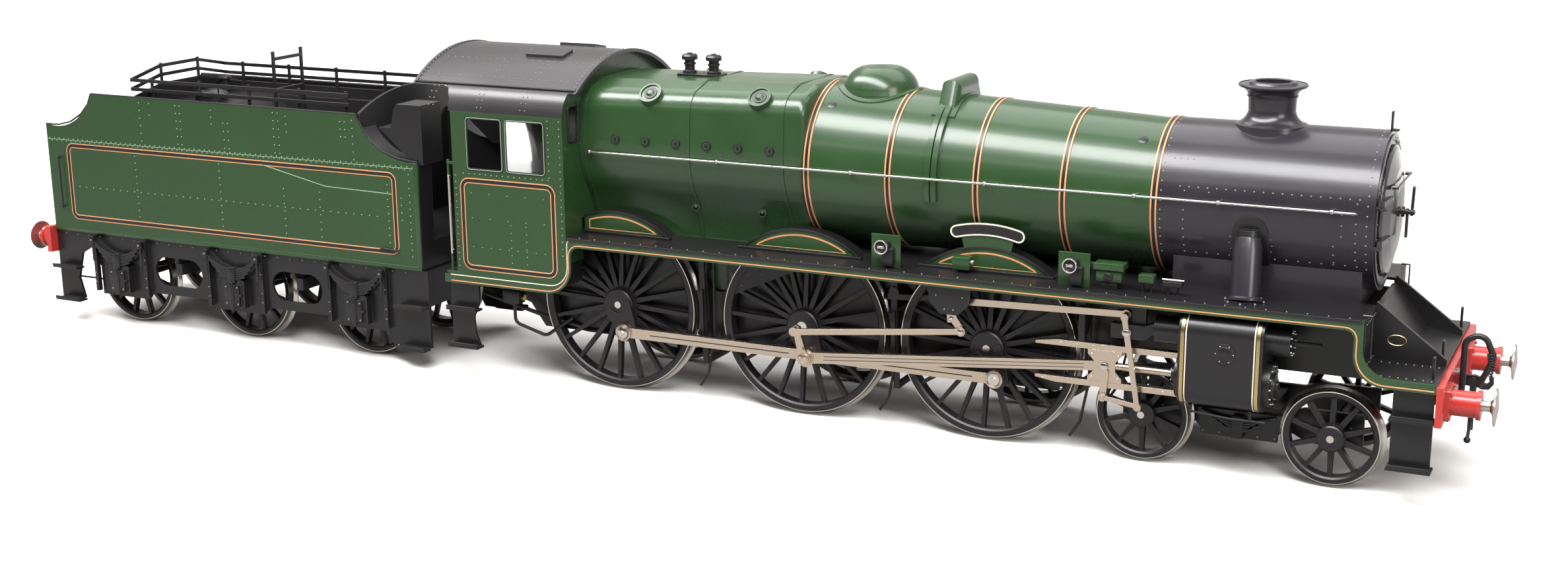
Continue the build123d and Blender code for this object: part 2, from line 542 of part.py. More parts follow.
def buffer_stock(front, direction, side):
    """A flanged buffer housing on its beam face, hollow for the sprung shank."""
    mouth = direction * STOCK_MOUTH
    start, stop = sorted((front, mouth))
    with BuildPart() as stock:
        with BuildSketch(Plane.YZ.offset(front if direction > 0 else front - 1.0)):
            with Locations((side * BUFFER_Y, BUFFER_Z)):
                RectangleRounded(10.6, 10.6, 1.5)
        extrude(amount=1.0)
        with BuildSketch(Plane.YZ.offset(start)):
            with Locations((side * BUFFER_Y, BUFFER_Z)):
                Circle(4.1)
        extrude(amount=stop - start)
        with BuildSketch(Plane.YZ.offset(stop - 1.4 if direction > 0 else start)):
            with Locations((side * BUFFER_Y, BUFFER_Z)):
                Circle(4.7)
        extrude(amount=1.4)
        with BuildSketch(Plane.YZ.offset(start + 1.2 if direction > 0 else start)):
            with Locations((side * BUFFER_Y, BUFFER_Z)):
                Circle(SHANK_RADIUS + RUNNING)
        extrude(amount=stop - start - 1.2, mode=Mode.SUBTRACT)
    return stock.part


FACE_FRONT, FACE_REAR = HALF_LENGTH_INCHES * INCH, -HALF_LENGTH_INCHES * INCH


def buffer_head(face, direction, side):
    """A round buffer face, slightly domed, on its shank."""
    with BuildPart() as head:
        with BuildSketch(Plane.XY):
            profile = ((0, 0), (0.9, -0.15), (5.9, -0.8), (6.1, -1.3), (2.4, -2.0),
                       (SHANK_RADIUS, -2.6),
                       (SHANK_RADIUS, -SHANK_REACH), (0, -SHANK_REACH))
            Polygon(*[(depth * direction, reach) for reach, depth in profile])
        revolve(axis=Axis.X)
    return Pos(face, side * BUFFER_Y, BUFFER_Z) * head.part


BEAM_FRONT = along(279)
with BuildPart() as buffer_beam:
    with BuildSketch(Plane.YZ.offset(along(276.4))):
        with Locations((0, (up(35.5) + up(51.6)) / 2)):
            Rectangle(2 * HALF_WIDTH, up(51.6) - up(35.5))
    extrude(amount=BEAM_FRONT - along(276.4))
HOOK_PIN = (BEAM_FRONT + 4.4, up(41.5))


def draw_hook(face, direction):
    """A flat forged hook through the beam, with the eye that the screw coupling hangs from."""
    with BuildPart() as hook:
        with BuildSketch(Plane.XZ.offset(-0.8)):
            outline = ((0, -1.8), (5.2, -1.8), (7.0, -2.6), (9.3, -2.4), (10.6, -0.6), (10.4, 1.6),
                       (9.3, 2.2),
                       (8.9, 1.4), (9.3, 0.2), (8.4, -0.7), (7.2, -0.2), (6.6, 1.4), (5.0, 1.8), (0, 1.8))
            Polygon(*[(face + direction * px, up(41.5) + pz) for px, pz in outline])
            with Locations((face + direction * 4.4, up(41.5))):
                Circle(SMALL_PIN_RADIUS + RUNNING, mode=Mode.SUBTRACT)
        extrude(amount=1.6)
    return hook.part


with BuildPart() as vacuum_pipe:
    pipe_x, pipe_y = BEAM_FRONT + 2.2, -12.5
    with BuildLine() as pipe_line:
        FilletPolyline((pipe_x, pipe_y, up(37)), (pipe_x, pipe_y, up(62)), (pipe_x + 5.5, pipe_y, up(66)),
                       (pipe_x + 9.0, pipe_y, up(56)), (pipe_x + 5.0, pipe_y, up(44)), radius=3.2)
    with BuildSketch(Plane(origin=pipe_line.line @ 0, z_dir=pipe_line.line % 0)):
        Circle(1.0)
    sweep()
save("front_platform", group(front_platform.part, draw_hook(BEAM_FRONT, 1), vacuum_pipe.part))
beam_solids = [buffer_beam.part]
beam_solids += [buffer_stock(BEAM_FRONT, 1, side) for side in SIDES.values()]
save("buffer_beam", group(*beam_solids))
for side_name, side in SIDES.items():
    save(f"buffer_head_front_{side_name}", buffer_head(FACE_FRONT, 1, side))
    save(f"buffer_head_rear_{side_name}", buffer_head(FACE_REAR, -1, side))

# The shackle's pin turns in the hook's eye, and the screw and its weighted handle hang below.
with BuildPart() as screw_coupling:
    with BuildSketch(Plane.XZ.offset(-2.4)):
        with Locations(HOOK_PIN):
            Circle(SMALL_PIN_RADIUS)
    extrude(amount=4.8)
    for inner in (1.3, -2.3):
        with BuildSketch(Plane.XZ.offset(inner)):
            Polygon(*bar_points(HOOK_PIN, (HOOK_PIN[0], HOOK_PIN[1] - 9.5), 0.95, 0.8))
            with Locations(HOOK_PIN):
                Circle(1.5)
        extrude(amount=1.0)
    with BuildSketch(Plane.XZ.offset(-3.2)):
        with Locations((HOOK_PIN[0], HOOK_PIN[1] - 9.5)):
            Circle(1.3)
    extrude(amount=6.4)
    with BuildSketch(Plane.XY.offset(HOOK_PIN[1] - 16.5)):
        with Locations((HOOK_PIN[0], 0)):
            Circle(0.9)
    extrude(amount=7.0)
    with BuildSketch(Plane.YZ.offset(HOOK_PIN[0] - 0.5)):
        Polygon(*bar_points((0, HOOK_PIN[1] - 13.0), (-6.0, HOOK_PIN[1] - 18.0), 0.5, 0.5))
    extrude(amount=1.0)
    with Locations((HOOK_PIN[0], -6.2, HOOK_PIN[1] - 18.2)):
        Sphere(1.1)
save("screw_coupling", screw_coupling.part)


# ---- boiler, firebox and smokebox ---------------------------------------------------------------
def barrel_at(place):
    """Radius and centre height of the tapered barrel at a place along it."""
    share = (place - BARREL_REAR) / (BARREL_FRONT - BARREL_REAR)
    radius = BARREL_RADII[0] + (BARREL_RADII[1] - BARREL_RADII[0]) * share
    height = BARREL_HEIGHTS[0] + (BARREL_HEIGHTS[1] - BARREL_HEIGHTS[0]) * share
    return radius * INCH, up(height)


def barrel(extra, start=BARREL_REAR, stop=BARREL_FRONT):
    """The barrel's solid between two places, grown by extra all round."""
    with BuildPart() as cone:
        for place in (start, stop):
            radius, height = barrel_at(place)
            with BuildSketch(Plane.YZ.offset(along(place))):
                with Locations((0, height)):
                    Circle(radius + extra)
        loft()
    return cone.part


CLADDING = 0.9
with BuildPart() as boiler_cladding:
    add(barrel(0))
    for place in BAND_PLACES:
        add(barrel(0.22, place - 1.1, place + 1.1))
    add(barrel(0.22, BARREL_FRONT - 1.6, BARREL_FRONT))
    add(barrel(-CLADDING), mode=Mode.SUBTRACT)
save("boiler_cladding", boiler_cladding.part)

FIREBOX_REAR, BACKHEAD_REAR = CAB_FRONT + 0.1, CAB_FRONT - 9
FIREBOX_BOTTOM = up(47)  # clear above the coupled axles
COPPER_RADIUS = 20.5


SHOULDER_RADIUS = 9.0


def crown_at(place):
    """Height of the firebox roof at a place along it, in full-size inches."""
    return 145.6 + 2.8 * (place - CAB_FRONT) / (BARREL_REAR - CAB_FRONT)


def firebox(inset, start, stop):
    """The Belpaire firebox between two places: flat roof, round shoulders and sides that draw in."""
    with BuildPart() as box:
        for place in (start, stop):
            crown = crown_at(place)
            half = [(0, up(crown) - inset), (17 * INCH, up(crown - 0.3) - inset),
                    (34.6 * INCH - inset, up(crown - 5)), (36.4 * INCH - inset, up(116)),
                    (35.2 * INCH - inset, up(104)), (26.0 * INCH - inset, up(89)),
                    (22.6 * INCH - inset, up(76)), (22.6 * INCH - inset, FIREBOX_BOTTOM + inset),
                    (0, FIREBOX_BOTTOM + inset)]
            with BuildSketch(Plane.YZ.offset(along(place))):
                Polygon(*half, *[(-py, pz) for py, pz in half[-2:0:-1]])
                # Each knee of the outline is rounded on its own, from the shoulders down.
                for low, high, radius in ((crown - 9, crown - 2, SHOULDER_RADIUS - inset), (113, 118.5, 30),
                                          (101, 107, 28), (86, 92, 35), (73, 79, 40)):
                    knees = vertices().filter_by(lambda v: up(low) < v.Y < up(high) and abs(v.X) > 17)
                    fillet(knees, radius=radius)
        loft()
    return box.part


# Right-hand washout covers on the shoulders, a row of plugs along the side and two more below
with BuildPart() as washouts:
    for place in (-76, -20.5):
        shoulder_middle = (along(place), -18.9, up(crown_at(place) - 5) - 7.0)
        with BuildSketch(Plane(origin=shoulder_middle, z_dir=(0, -0.68,
                                                              0.73)).offset(SHOULDER_RADIUS - 0.8)):
            Circle(4.35)
        extrude(amount=1.9)
    for number in range(6):
        with BuildSketch(Plane.XZ.offset(36.0 * INCH - 0.4)):
            with Locations((along(-93.1 + 15.8 * number), up(120.4))):
                Circle(1.4)
                Circle(0.7, mode=Mode.SUBTRACT)
        extrude(amount=1.1)
    for place in (-56, -22):
        with BuildSketch(Plane.XZ.offset(26.0 * INCH - 0.2)):
            with Locations((along(place), up(89.8))):
                Circle(1.5)
        extrude(amount=1.9)

with BuildPart() as firebox_cladding:
    add(firebox(0, FIREBOX_REAR, BARREL_REAR))
    front = faces().sort_by(Axis.X)[-1]
    upper_front = front.edges().filter_by(lambda e: e.center().Z > up(60))
    fillet(upper_front, radius=3.0)
    add(firebox(CLADDING, FIREBOX_REAR - 1, BARREL_REAR - 1.5), mode=Mode.SUBTRACT)
    with BuildSketch(Plane.YZ.offset(along(BARREL_REAR) - 3)):
        with Locations((0, up(109))):
            Circle(COPPER_RADIUS + 0.3)
    extrude(amount=6, mode=Mode.SUBTRACT)
    add(washouts.part)
    add(washouts.part.mirror(Plane.XZ))
save("firebox_cladding", firebox_cladding.part)


def smokebox_round(extra, start, stop):
    """A length of the smokebox's round, grown by extra."""
    with BuildPart() as drum:
        with BuildSketch(Plane.YZ.offset(along(start))):
            with Locations((0, up(SMOKEBOX_HEIGHT))):
                Circle(SMOKEBOX_RADIUS * INCH + extra)
        extrude(amount=along(stop) - along(start))
    return drum.part


CHIMNEY_X = along(198)
CHIMNEY_BORE = 7.2 * INCH
DOOR_HOLE = 24 * INCH
with BuildPart() as smokebox:
    add(smokebox_round(0, BARREL_FRONT, SMOKEBOX_FRONT))
    add(smokebox_round(-1.2, BARREL_FRONT + 1.6, SMOKEBOX_FRONT - 2.6), mode=Mode.SUBTRACT)
    with BuildSketch(Plane.YZ.offset(along(SMOKEBOX_FRONT) - 4)):
        with Locations((0, up(SMOKEBOX_HEIGHT))):
            Circle(DOOR_HOLE)
    extrude(amount=5, mode=Mode.SUBTRACT)
    # Flue opening in the tubeplate, chimney opening above
    with BuildSketch(Plane.YZ.offset(along(BARREL_FRONT) - 1)):
        with Locations((0, up(104))):
            Circle(8.05)
    extrude(amount=4, mode=Mode.SUBTRACT)
    with BuildSketch(Plane.XY.offset(up(SMOKEBOX_HEIGHT))):
        with Locations((CHIMNEY_X, 0)):
            Circle(CHIMNEY_BORE)
    extrude(amount=40 * INCH, mode=Mode.SUBTRACT)
# Saddle: a flared box between the frames and the smokebox
with BuildPart() as saddle:
    with BuildSketch(Plane.YZ.offset(along(166))):
        Polygon((-18.25, up(72)), (18.25, up(72)), (18.25, up(75)), (20.0, up(75)), (20.0, up(92)),
                (-20.0, up(92)),
                (-20.0, up(75)), (-18.25, up(75)))
    extrude(amount=(242 - 166) * INCH)
    add(smokebox_round(0.01, 150, 250), mode=Mode.SUBTRACT)
with BuildPart() as blast_pipe:
    with BuildSketch(Plane.XY.offset(up(84))):
        with Locations((CHIMNEY_X, 0)):
            Circle(3.2)
    with BuildSketch(Plane.XY.offset(up(100))):
        with Locations((CHIMNEY_X, 0)):
            Circle(1.8)
    loft()
    add(smokebox_round(-1.15, 150, 250), mode=Mode.INTERSECT)
# The door's two hinge lugs, on the right of the ring
with BuildPart() as hinge_lugs:
    HINGE_X, HINGE_Y = along(SMOKEBOX_FRONT) + 1.5, -29.6 * INCH
    for height in (100.5, 116.5):
        with BuildSketch(Plane.XY.offset(up(height) - 1.9)):
            with Locations((HINGE_X - 0.7, HINGE_Y)):
                Rectangle(1.6, 1.9)
            with Locations((HINGE_X, HINGE_Y)):
                Circle(0.95)
        extrude(amount=1.2)
        with BuildSketch(Plane.XY.offset(up(height) - 0.7)):
            with Locations((HINGE_X, HINGE_Y)):
                Circle(0.45)
        extrude(amount=1.9)
save("smokebox", smokebox.part)

DOOR_RADIUS = 26.8 * INCH
DOOR_BACK = along(SMOKEBOX_FRONT) + 0.1
with BuildPart() as smokebox_door:
    with BuildSketch(Plane.XZ):
        Polygon((0, 0), (0, DOOR_RADIUS), (0.9, DOOR_RADIUS), (1.5, DOOR_RADIUS - 1.2), (3.0, 14), (3.7, 8),
                (4.0, 3), (4.0, 0))
    revolve(axis=Axis.X)
    with BuildSketch(Plane.XZ):
        Polygon((-1, 0), (-1, DOOR_RADIUS - 3.2), (0.4, DOOR_RADIUS - 3.2), (1.9, 14), (2.6, 8), (2.9, 1.3),
                (2.9, 0))
    revolve(axis=Axis.X, mode=Mode.SUBTRACT)
    with BuildSketch(Plane.YZ):
        Circle(0.85)
    extrude(amount=8, mode=Mode.SUBTRACT)
door_shell = Pos(DOOR_BACK, 0, up(SMOKEBOX_HEIGHT)) * smokebox_door.part
with BuildPart() as door_with_straps:
    add(door_shell)
    for height in (100.5, 116.5):
        with BuildSketch(Plane.XY.offset(up(height) - 0.6)):
            with Locations((HINGE_X, HINGE_Y)):
                Circle(1.0)
            Polygon((HINGE_X - 0.5, HINGE_Y), (HINGE_X + 1.0, HINGE_Y), (DOOR_BACK + 3.6, -13),
                    (DOOR_BACK + 2.6, -13),
                    (DOOR_BACK + 0.4, -19.5))
            with Locations((HINGE_X, HINGE_Y)):
                Circle(0.5, mode=Mode.SUBTRACT)
        extrude(amount=1.7)
save("smokebox_door", door_with_straps.part)

DART_Z = up(SMOKEBOX_HEIGHT)
with BuildPart() as door_dart:
    with BuildSketch(Plane.YZ.offset(DOOR_BACK + 0.2)):
        with Locations((0, DART_Z)):
            Circle(0.8)
    extrude(amount=8.2)
    with BuildSketch(Plane.YZ.offset(DOOR_BACK + 4.3)):
        with Locations((0, DART_Z)):
            Circle(1.7)
    extrude(amount=0.9)
    for reach_y, reach_z, depth in ((0, -7.8, 5.6), (1.5, 7.6, 7.0)):
        with BuildSketch(Plane.YZ.offset(DOOR_BACK + depth)):
            Polygon(*bar_points((0, DART_Z), (reach_y, DART_Z + reach_z), 0.7, 0.45))
            with Locations((0, DART_Z)):
                Circle(1.2)
            with Locations((reach_y, DART_Z + reach_z)):
                Circle(0.6)
        extrude(amount=0.9)
save("door_dart", door_dart.part)

with BuildPart() as chimney:
    with BuildSketch(Plane.XZ):
        with BuildLine():
            Polyline((CHIMNEY_BORE, up(132)), (CHIMNEY_BORE, up(158.2)), (8.0 * INCH, up(158.6)),
                     (9.6 * INCH, up(158.2)), (10.2 * INCH, up(157.4)), (13.6 * INCH, up(157.2)),
                     (13.9 * INCH, up(156.6)), (13.2 * INCH, up(156.0)))
            ThreePointArc((13.2 * INCH, up(156.0)), (11.1 * INCH, up(154.9)), (9.9 * INCH, up(152.6)))
            Line((9.9 * INCH, up(152.6)), (9.7 * INCH, up(147.0)))
            ThreePointArc((9.7 * INCH, up(147.0)), (11.0 * INCH, up(143.2)), (14.6 * INCH, up(141.0)))
            Polyline((14.6 * INCH, up(141.0)), (15.0 * INCH, up(138.8)), (15.0 * INCH, up(132)),
                     (CHIMNEY_BORE, up(132)))
        make_face()
    revolve(axis=Axis.Z)
with BuildPart() as placed_chimney:
    add(Pos(CHIMNEY_X, 0, 0) * chimney.part)
    add(smokebox_round(0.01, 150, 250), mode=Mode.SUBTRACT)
save("chimney_and_saddle", group(placed_chimney.part, saddle.part, blast_pipe.part, hinge_lugs.part))

DOME_X, DOME_FLANGE_RADIUS = along(24.2), 19.4 * INCH
with BuildPart() as dome:
    with BuildSketch(Plane.XZ):
        with BuildLine():
            Polyline((17.0 * INCH, up(146.5)), (17.6 * INCH, up(144.5)), (17.6 * INCH, up(136)),
                     (0, up(136)),
                     (0, up(156.2)), (9.0 * INCH, up(155.4)))
            ThreePointArc((9.0 * INCH, up(155.4)), (14.5 * INCH, up(151.6)), (17.0 * INCH, up(146.5)))
        make_face()
    revolve(axis=Axis.Z)
with BuildPart() as dome_flange:
    with BuildSketch(Plane.XY.offset(up(130))):
        with Locations((DOME_X, 0)):
            Circle(DOME_FLANGE_RADIUS)
    extrude(amount=24 * INCH)
    add(barrel(0.5, BARREL_REAR - 20, 80), mode=Mode.INTERSECT)
with BuildPart() as placed_dome:
    add(Pos(DOME_X, 0, 0) * dome.part)
    add(dome_flange.part)
    add(barrel(0.01, BARREL_REAR - 20, 80), mode=Mode.SUBTRACT)
    add(barrel(0.25, BAND_PLACES[0] - 1.2, 80), mode=Mode.SUBTRACT)
save("dome", placed_dome.part)

# Top feed: a round-backed ridge over the barrel with a flared foot and two pipe covers each side
FEED_START, FEED_STOP, FEED_LEVEL_Y = 57.5, 66.5, 10.0
with BuildPart() as top_feed:
    with BuildSketch(Plane.YZ.offset(along(FEED_START))):
        Polygon((-19.0, up(130)), (19.0, up(130)), (FEED_LEVEL_Y, up(152.9)), (-FEED_LEVEL_Y, up(152.9)))
    extrude(amount=(FEED_STOP - FEED_START) * INCH)
    ridge = edges().filter_by(lambda e: e.center().Z > up(138) and abs(e.center().X - along(62)) > 1)
    fillet(ridge, radius=3.2)
    with Locations((along(62), 0, up(138.5) - 60)):
        Box(60, 100, 120, mode=Mode.SUBTRACT)
    for start, stop in ((59.3, 61.7), (62.3, 64.7)):
        add(barrel(1.4, start, stop))
    with Locations((along(62), 0, up(103.4) - 60)):
        Box(60, 100, 120, mode=Mode.SUBTRACT)
    add(barrel(0.03, 30, 100), mode=Mode.SUBTRACT)
with BuildPart() as feed_foot:
    with Locations((along(62), 0, up(139))):
        Box(10.6 * INCH, 34.0, 20 * INCH)
    add(barrel(0.6, 30, 100), mode=Mode.INTERSECT)
    add(barrel(0.03, 30, 100), mode=Mode.SUBTRACT)
with BuildPart() as whole_feed:
    add(top_feed.part)
    add(feed_foot.part)
save("top_feed", whole_feed.part)

with BuildPart() as valve_shape:
    with BuildSketch(Plane.XZ):
        Polygon((0, 0), (2.6, 0), (2.6, 0.8), (1.9, 1.1), (1.9, 2.9), (2.3, 3.1), (2.3, 3.7), (1.9, 3.9),
                (1.9, 4.7),
                (3.0, 5.0), (3.0, 6.2), (2.5, 6.9), (1.0, 7.1), (1.0, 7.4), (0, 7.4))
    revolve(axis=Axis.Z)
VALVE_SEAT = up(147.5)
with BuildPart() as valve_plate:
    with BuildSketch(Plane.XY.offset(up(145))):
        with Locations((along(-66.6), 0)):
            RectangleRounded(22 * INCH, 9.0, 1.5)
    extrude(amount=VALVE_SEAT - up(145))
    add(firebox(-0.01, CAB_FRONT, BARREL_REAR), mode=Mode.SUBTRACT)
save("safety_valves", group(valve_plate.part, *[Pos(along(place), 0, VALVE_SEAT) * valve_shape.part
                                                for place in (-73, -60.3)]))

# Copper boiler inside the cladding, with the flue that carries the fire to the smokebox
FLUE_Z = up(104)
with BuildPart() as copper_boiler:
    for start, stop, radius, mode in ((-104, 156.9, COPPER_RADIUS, Mode.ADD),
                                      (-102, 154.9, COPPER_RADIUS - 1.2, Mode.SUBTRACT)):
        with BuildSketch(Plane.YZ.offset(along(start))):
            with Locations((0, up(109))):
                Circle(radius)
        extrude(amount=(stop - start) * INCH, mode=mode)
    with BuildSketch(Plane.YZ.offset(along(-104))):
        with Locations((0, FLUE_Z)):
            Circle(8.0)
    extrude(amount=(156.9 + 104) * INCH)
    with BuildSketch(Plane.YZ.offset(along(-105))):
        with Locations((0, FLUE_Z)):
            Circle(7.2)
    extrude(amount=(158 + 105) * INCH, mode=Mode.SUBTRACT)
save("copper_boiler", copper_boiler.part)

# ---- cab ----------------------------------------------------------------------------------------
ROOF_EAVES = (HALF_WIDTH, up(130.6))
ROOF_KNEE = (43.5 * INCH, up(142.2))
ROOF_CROWN = (0, up(156.2))
ROOF_REAR, ROOF_FRONT, RAIN_STRIP_HEIGHT = -199, -108, 141.5
SEAT_TOP = 88.4


def roof_outline(inset):
    """Points of the roof's arcs from the right eaves over to the left, moved inward by inset."""
    eave = (ROOF_EAVES[0] - inset, ROOF_EAVES[1])
    bend = (48.9 * INCH - inset, up(137.4) - 0.3 * inset)
    knee = (ROOF_KNEE[0] - 0.6 * inset, ROOF_KNEE[1] - 0.8 * inset)
    crown = (0, ROOF_CROWN[1] - inset)
    return eave, bend, knee, crown


with BuildPart() as cab:
    # Right side sheet with its two windows
    with BuildSketch(side_plane(RIGHT, HALF_WIDTH - SHEET, SHEET)):
        Polygon(*[(along(px), up(pz)) for px, pz in
                  ((CAB_REAR, 51.4), (CAB_FRONT, 51.4), (CAB_FRONT, 130.5), (CAB_REAR, 130.5))])
        lower_front = vertices().group_by(Axis.Y)[0].sort_by(Axis.X)[-1]
        fillet(lower_front, radius=9.3 * INCH)
        for start, stop in ((-165.4, -145.9), (-143.6, -122.6)):
            with Locations(((along(start) + along(stop)) / 2, (up(103.5) + up(128)) / 2)):
                RectangleRounded(along(stop) - along(start), up(128) - up(103.5), 1.2, mode=Mode.SUBTRACT)
    extrude(amount=SHEET)
    # Entrance pillar behind the side sheet
    with BuildSketch(Plane.XY.offset(up(51.4))):
        with Locations((along(-177.6), -HALF_WIDTH + 1.2)):
            Circle(0.5)
    extrude(amount=up(107) - up(51.4))
    with BuildSketch(Plane.XY.offset(up(105))):
        with Locations((along(-175.6), -HALF_WIDTH + 1.0)):
            Rectangle(4.6 * INCH, 0.9)
    extrude(amount=0.9)
    with BuildSketch(Plane.XY.offset(up(51.4))):
        with Locations((along(-175.6), -HALF_WIDTH + 1.0)):
            Rectangle(6 * INCH, 2.0)
    extrude(amount=1.2)
    mirror(about=Plane.XZ)
    # Front sheet, with the firebox's opening and two lookouts
    with BuildSketch(Plane.YZ.offset(along(CAB_FRONT) - 1.0)):
        with BuildLine():
            eave, bend, knee, crown = roof_outline(SHEET + 0.02)
            ThreePointArc((-eave[0], eave[1]), (-bend[0], bend[1]), (-knee[0], knee[1]))
            ThreePointArc((-knee[0], knee[1]), crown, knee)
            ThreePointArc(knee, bend, eave)
            Polyline(eave, (eave[0], up(62)), (18.1, up(62)), (-18.1, up(62)), (-eave[0], up(62)),
                     (-eave[0], eave[1]))
        make_face()
        for side in (RIGHT, LEFT):
            with Locations((side * 41.5 * INCH, up(127))):
                RectangleRounded(6.8, 13.0, 1.2, mode=Mode.SUBTRACT)
    extrude(amount=1.0)
    add(firebox(-0.05, CAB_FRONT - 8, CAB_FRONT + 8), mode=Mode.SUBTRACT)
    # Floor behind the wheels, and the seat boxes that cover the trailing wheels
    with BuildSketch(Plane.XY.offset(up(51.4))):
        with Locations(((along(-181) + along(-140)) / 2, 0)):
            Rectangle(41 * INCH, 2 * (HALF_WIDTH - SHEET))
        with Locations(((along(-141) + along(BACKHEAD_REAR - 0.4)) / 2, 0)):
            Rectangle((BACKHEAD_REAR + 140.6) * INCH, 40.8)
    extrude(amount=1.0)
    for side in (RIGHT, LEFT):
        with BuildSketch(side_plane(side, 20.2, HALF_WIDTH - SHEET - 20.2)):
            Polygon(*[(along(px), up(pz)) for px, pz in
                      ((-140, 51.4), (CAB_FRONT - 1, 51.4), (CAB_FRONT - 1, SEAT_TOP), (-140, SEAT_TOP))])
        extrude(amount=HALF_WIDTH - SHEET - 20.2)
        with BuildSketch(side_plane(side, 20.0, 8.4)):
            with Locations((X_TRAILING, Z_COUPLED)):
                Circle(44.3 * INCH)
        extrude(amount=8.4, mode=Mode.SUBTRACT)
save("cab", cab.part)



def roof_shell(outer, inner, start, stop):
    """The roof's curved sheet between two insets and two places along the engine."""
    with BuildPart() as shell:
        with BuildSketch(Plane.YZ.offset(along(start))):
            with BuildLine():
                eave, bend, knee, crown = roof_outline(outer)
                low_eave, low_bend, low_knee, low_crown = roof_outline(inner)
                ThreePointArc((-eave[0], eave[1]), (-bend[0], bend[1]), (-knee[0], knee[1]))
                ThreePointArc((-knee[0], knee[1]), crown, knee)
                ThreePointArc(knee, bend, eave)
                Line(eave, low_eave)
                ThreePointArc(low_eave, low_bend, low_knee)
                ThreePointArc(low_knee, low_crown, (-low_knee[0], low_knee[1]))
                ThreePointArc((-low_knee[0], low_knee[1]), (-low_bend[0], low_bend[1]),
                              (-low_eave[0], low_eave[1]))
                Line((-low_eave[0], low_eave[1]), (-eave[0], eave[1]))
            make_face()
        extrude(amount=(stop - start) * INCH)
    return shell.part


with BuildPart() as cab_roof:
    add(roof_shell(0, SHEET, ROOF_REAR, ROOF_FRONT))
    # Thicker rims along both ends
    add(roof_shell(-0.35, SHEET, ROOF_REAR, ROOF_REAR + 1.6))
    add(roof_shell(-0.35, SHEET, ROOF_FRONT - 1.4, ROOF_FRONT))
    # Past the cab's sides only the part over the rain strips goes on, fore and aft.
    with BuildSketch(Plane.XZ.offset(-60)):
        Polygon(*[(along(px), up(pz)) for px, pz in
                  ((ROOF_REAR - 1, 129), (-175, 129), (-175, 136), (-177.5, RAIN_STRIP_HEIGHT - 1),
                   (-180, RAIN_STRIP_HEIGHT), (ROOF_REAR - 1, RAIN_STRIP_HEIGHT))])
        Polygon(*[(along(px), up(pz)) for px, pz in
                  ((-112.4, 129), (ROOF_FRONT + 1, 129), (ROOF_FRONT + 1, RAIN_STRIP_HEIGHT),
                   (-112.4, RAIN_STRIP_HEIGHT))])
    extrude(amount=120, mode=Mode.SUBTRACT)
    # Two ventilator hatches, lying on the roof's slope
    for side in (RIGHT, LEFT):
        hatch_plane = Plane(origin=(along(-140.5), side * 12, up(154.2)), x_dir=(1, 0, 0),
                            z_dir=(0, side * 0.203, 0.979))
        with BuildSketch(hatch_plane):
            RectangleRounded(21 * INCH, 8.0, 0.7)
        extrude(amount=1.4)
save("cab_roof", cab_roof.part)

with BuildPart() as backhead:
    add(firebox(1.0, BACKHEAD_REAR, CAB_FRONT - 0.1))
    # Firehole ring, water gauges and the regulator's stuffing box
    with BuildSketch(Plane.YZ.offset(along(BACKHEAD_REAR) - 0.8)):
        with Locations((0, up(88))):
            RectangleRounded(13, 9.5, 3)
            RectangleRounded(9.5, 6.5, 2, mode=Mode.SUBTRACT)
        with Locations((0, up(121))):
            Circle(2.6)
        for side in (RIGHT, LEFT):
            with Locations((side * 7.5, up(118))):
                Rectangle(1.4, 9.5)
    extrude(amount=0.8)
    with BuildSketch(Plane.YZ.offset(along(BACKHEAD_REAR) - 3.2)):
        with Locations((0, up(121))):
            Circle(1.0)
    extrude(amount=2.4)

with BuildPart() as regulator_handle:
    with BuildSketch(Plane.YZ.offset(along(BACKHEAD_REAR) - 2.7)):
        with Locations((0, up(121))):
            Circle(1.9)
        Polygon(*bar_points((0, up(121)), (7.5, up(121) - 8.0), 0.9, 0.6))
        with Locations((7.5, up(121) - 8.0)):
            Circle(1.1)
        with Locations((0, up(121))):
            Circle(1.0 + RUNNING, mode=Mode.SUBTRACT)
    extrude(amount=1.2)
save("regulator_handle", regulator_handle.part)

REVERSER_Y, REVERSER_Z = 27.5, up(101)
with BuildPart() as reverser_stand:
    with BuildSketch(Plane.YZ.offset(along(-131))):
        Polygon((REVERSER_Y - 1.6, up(SEAT_TOP)), (REVERSER_Y + 1.6, up(SEAT_TOP)),
                (REVERSER_Y + 1.2, REVERSER_Z + 1.5),
                (REVERSER_Y - 1.2, REVERSER_Z + 1.5))
    extrude(amount=3.0)
    with BuildSketch(Plane.YZ.offset(along(-131) - 3.2)):
        with Locations((REVERSER_Y, REVERSER_Z)):
            Circle(0.8)
    extrude(amount=3.2)
with BuildPart() as reverser_wheel:
    with BuildSketch(Plane.YZ.offset(along(-131) - 2.6)):
        with Locations((REVERSER_Y, REVERSER_Z)):
            Circle(4.6)
            Circle(3.8, mode=Mode.SUBTRACT)
            Rectangle(8.6, 0.9)
            Rectangle(0.9, 8.6)
            Circle(1.6)
            Circle(0.8 + RUNNING, mode=Mode.SUBTRACT)
    extrude(amount=1.1)
save("reverser_wheel", reverser_wheel.part)
save("backhead", group(backhead.part, reverser_stand.part))

# ---- cylinders, slide bars and brackets ---------------------------------------------------------
CYLINDER_Y = 31.95
CHEST_Y, CHEST_Z = 32.6, up(60.2)
BLOCK_BOTTOM, BLOCK_TOP = up(31.2), up(69.8)


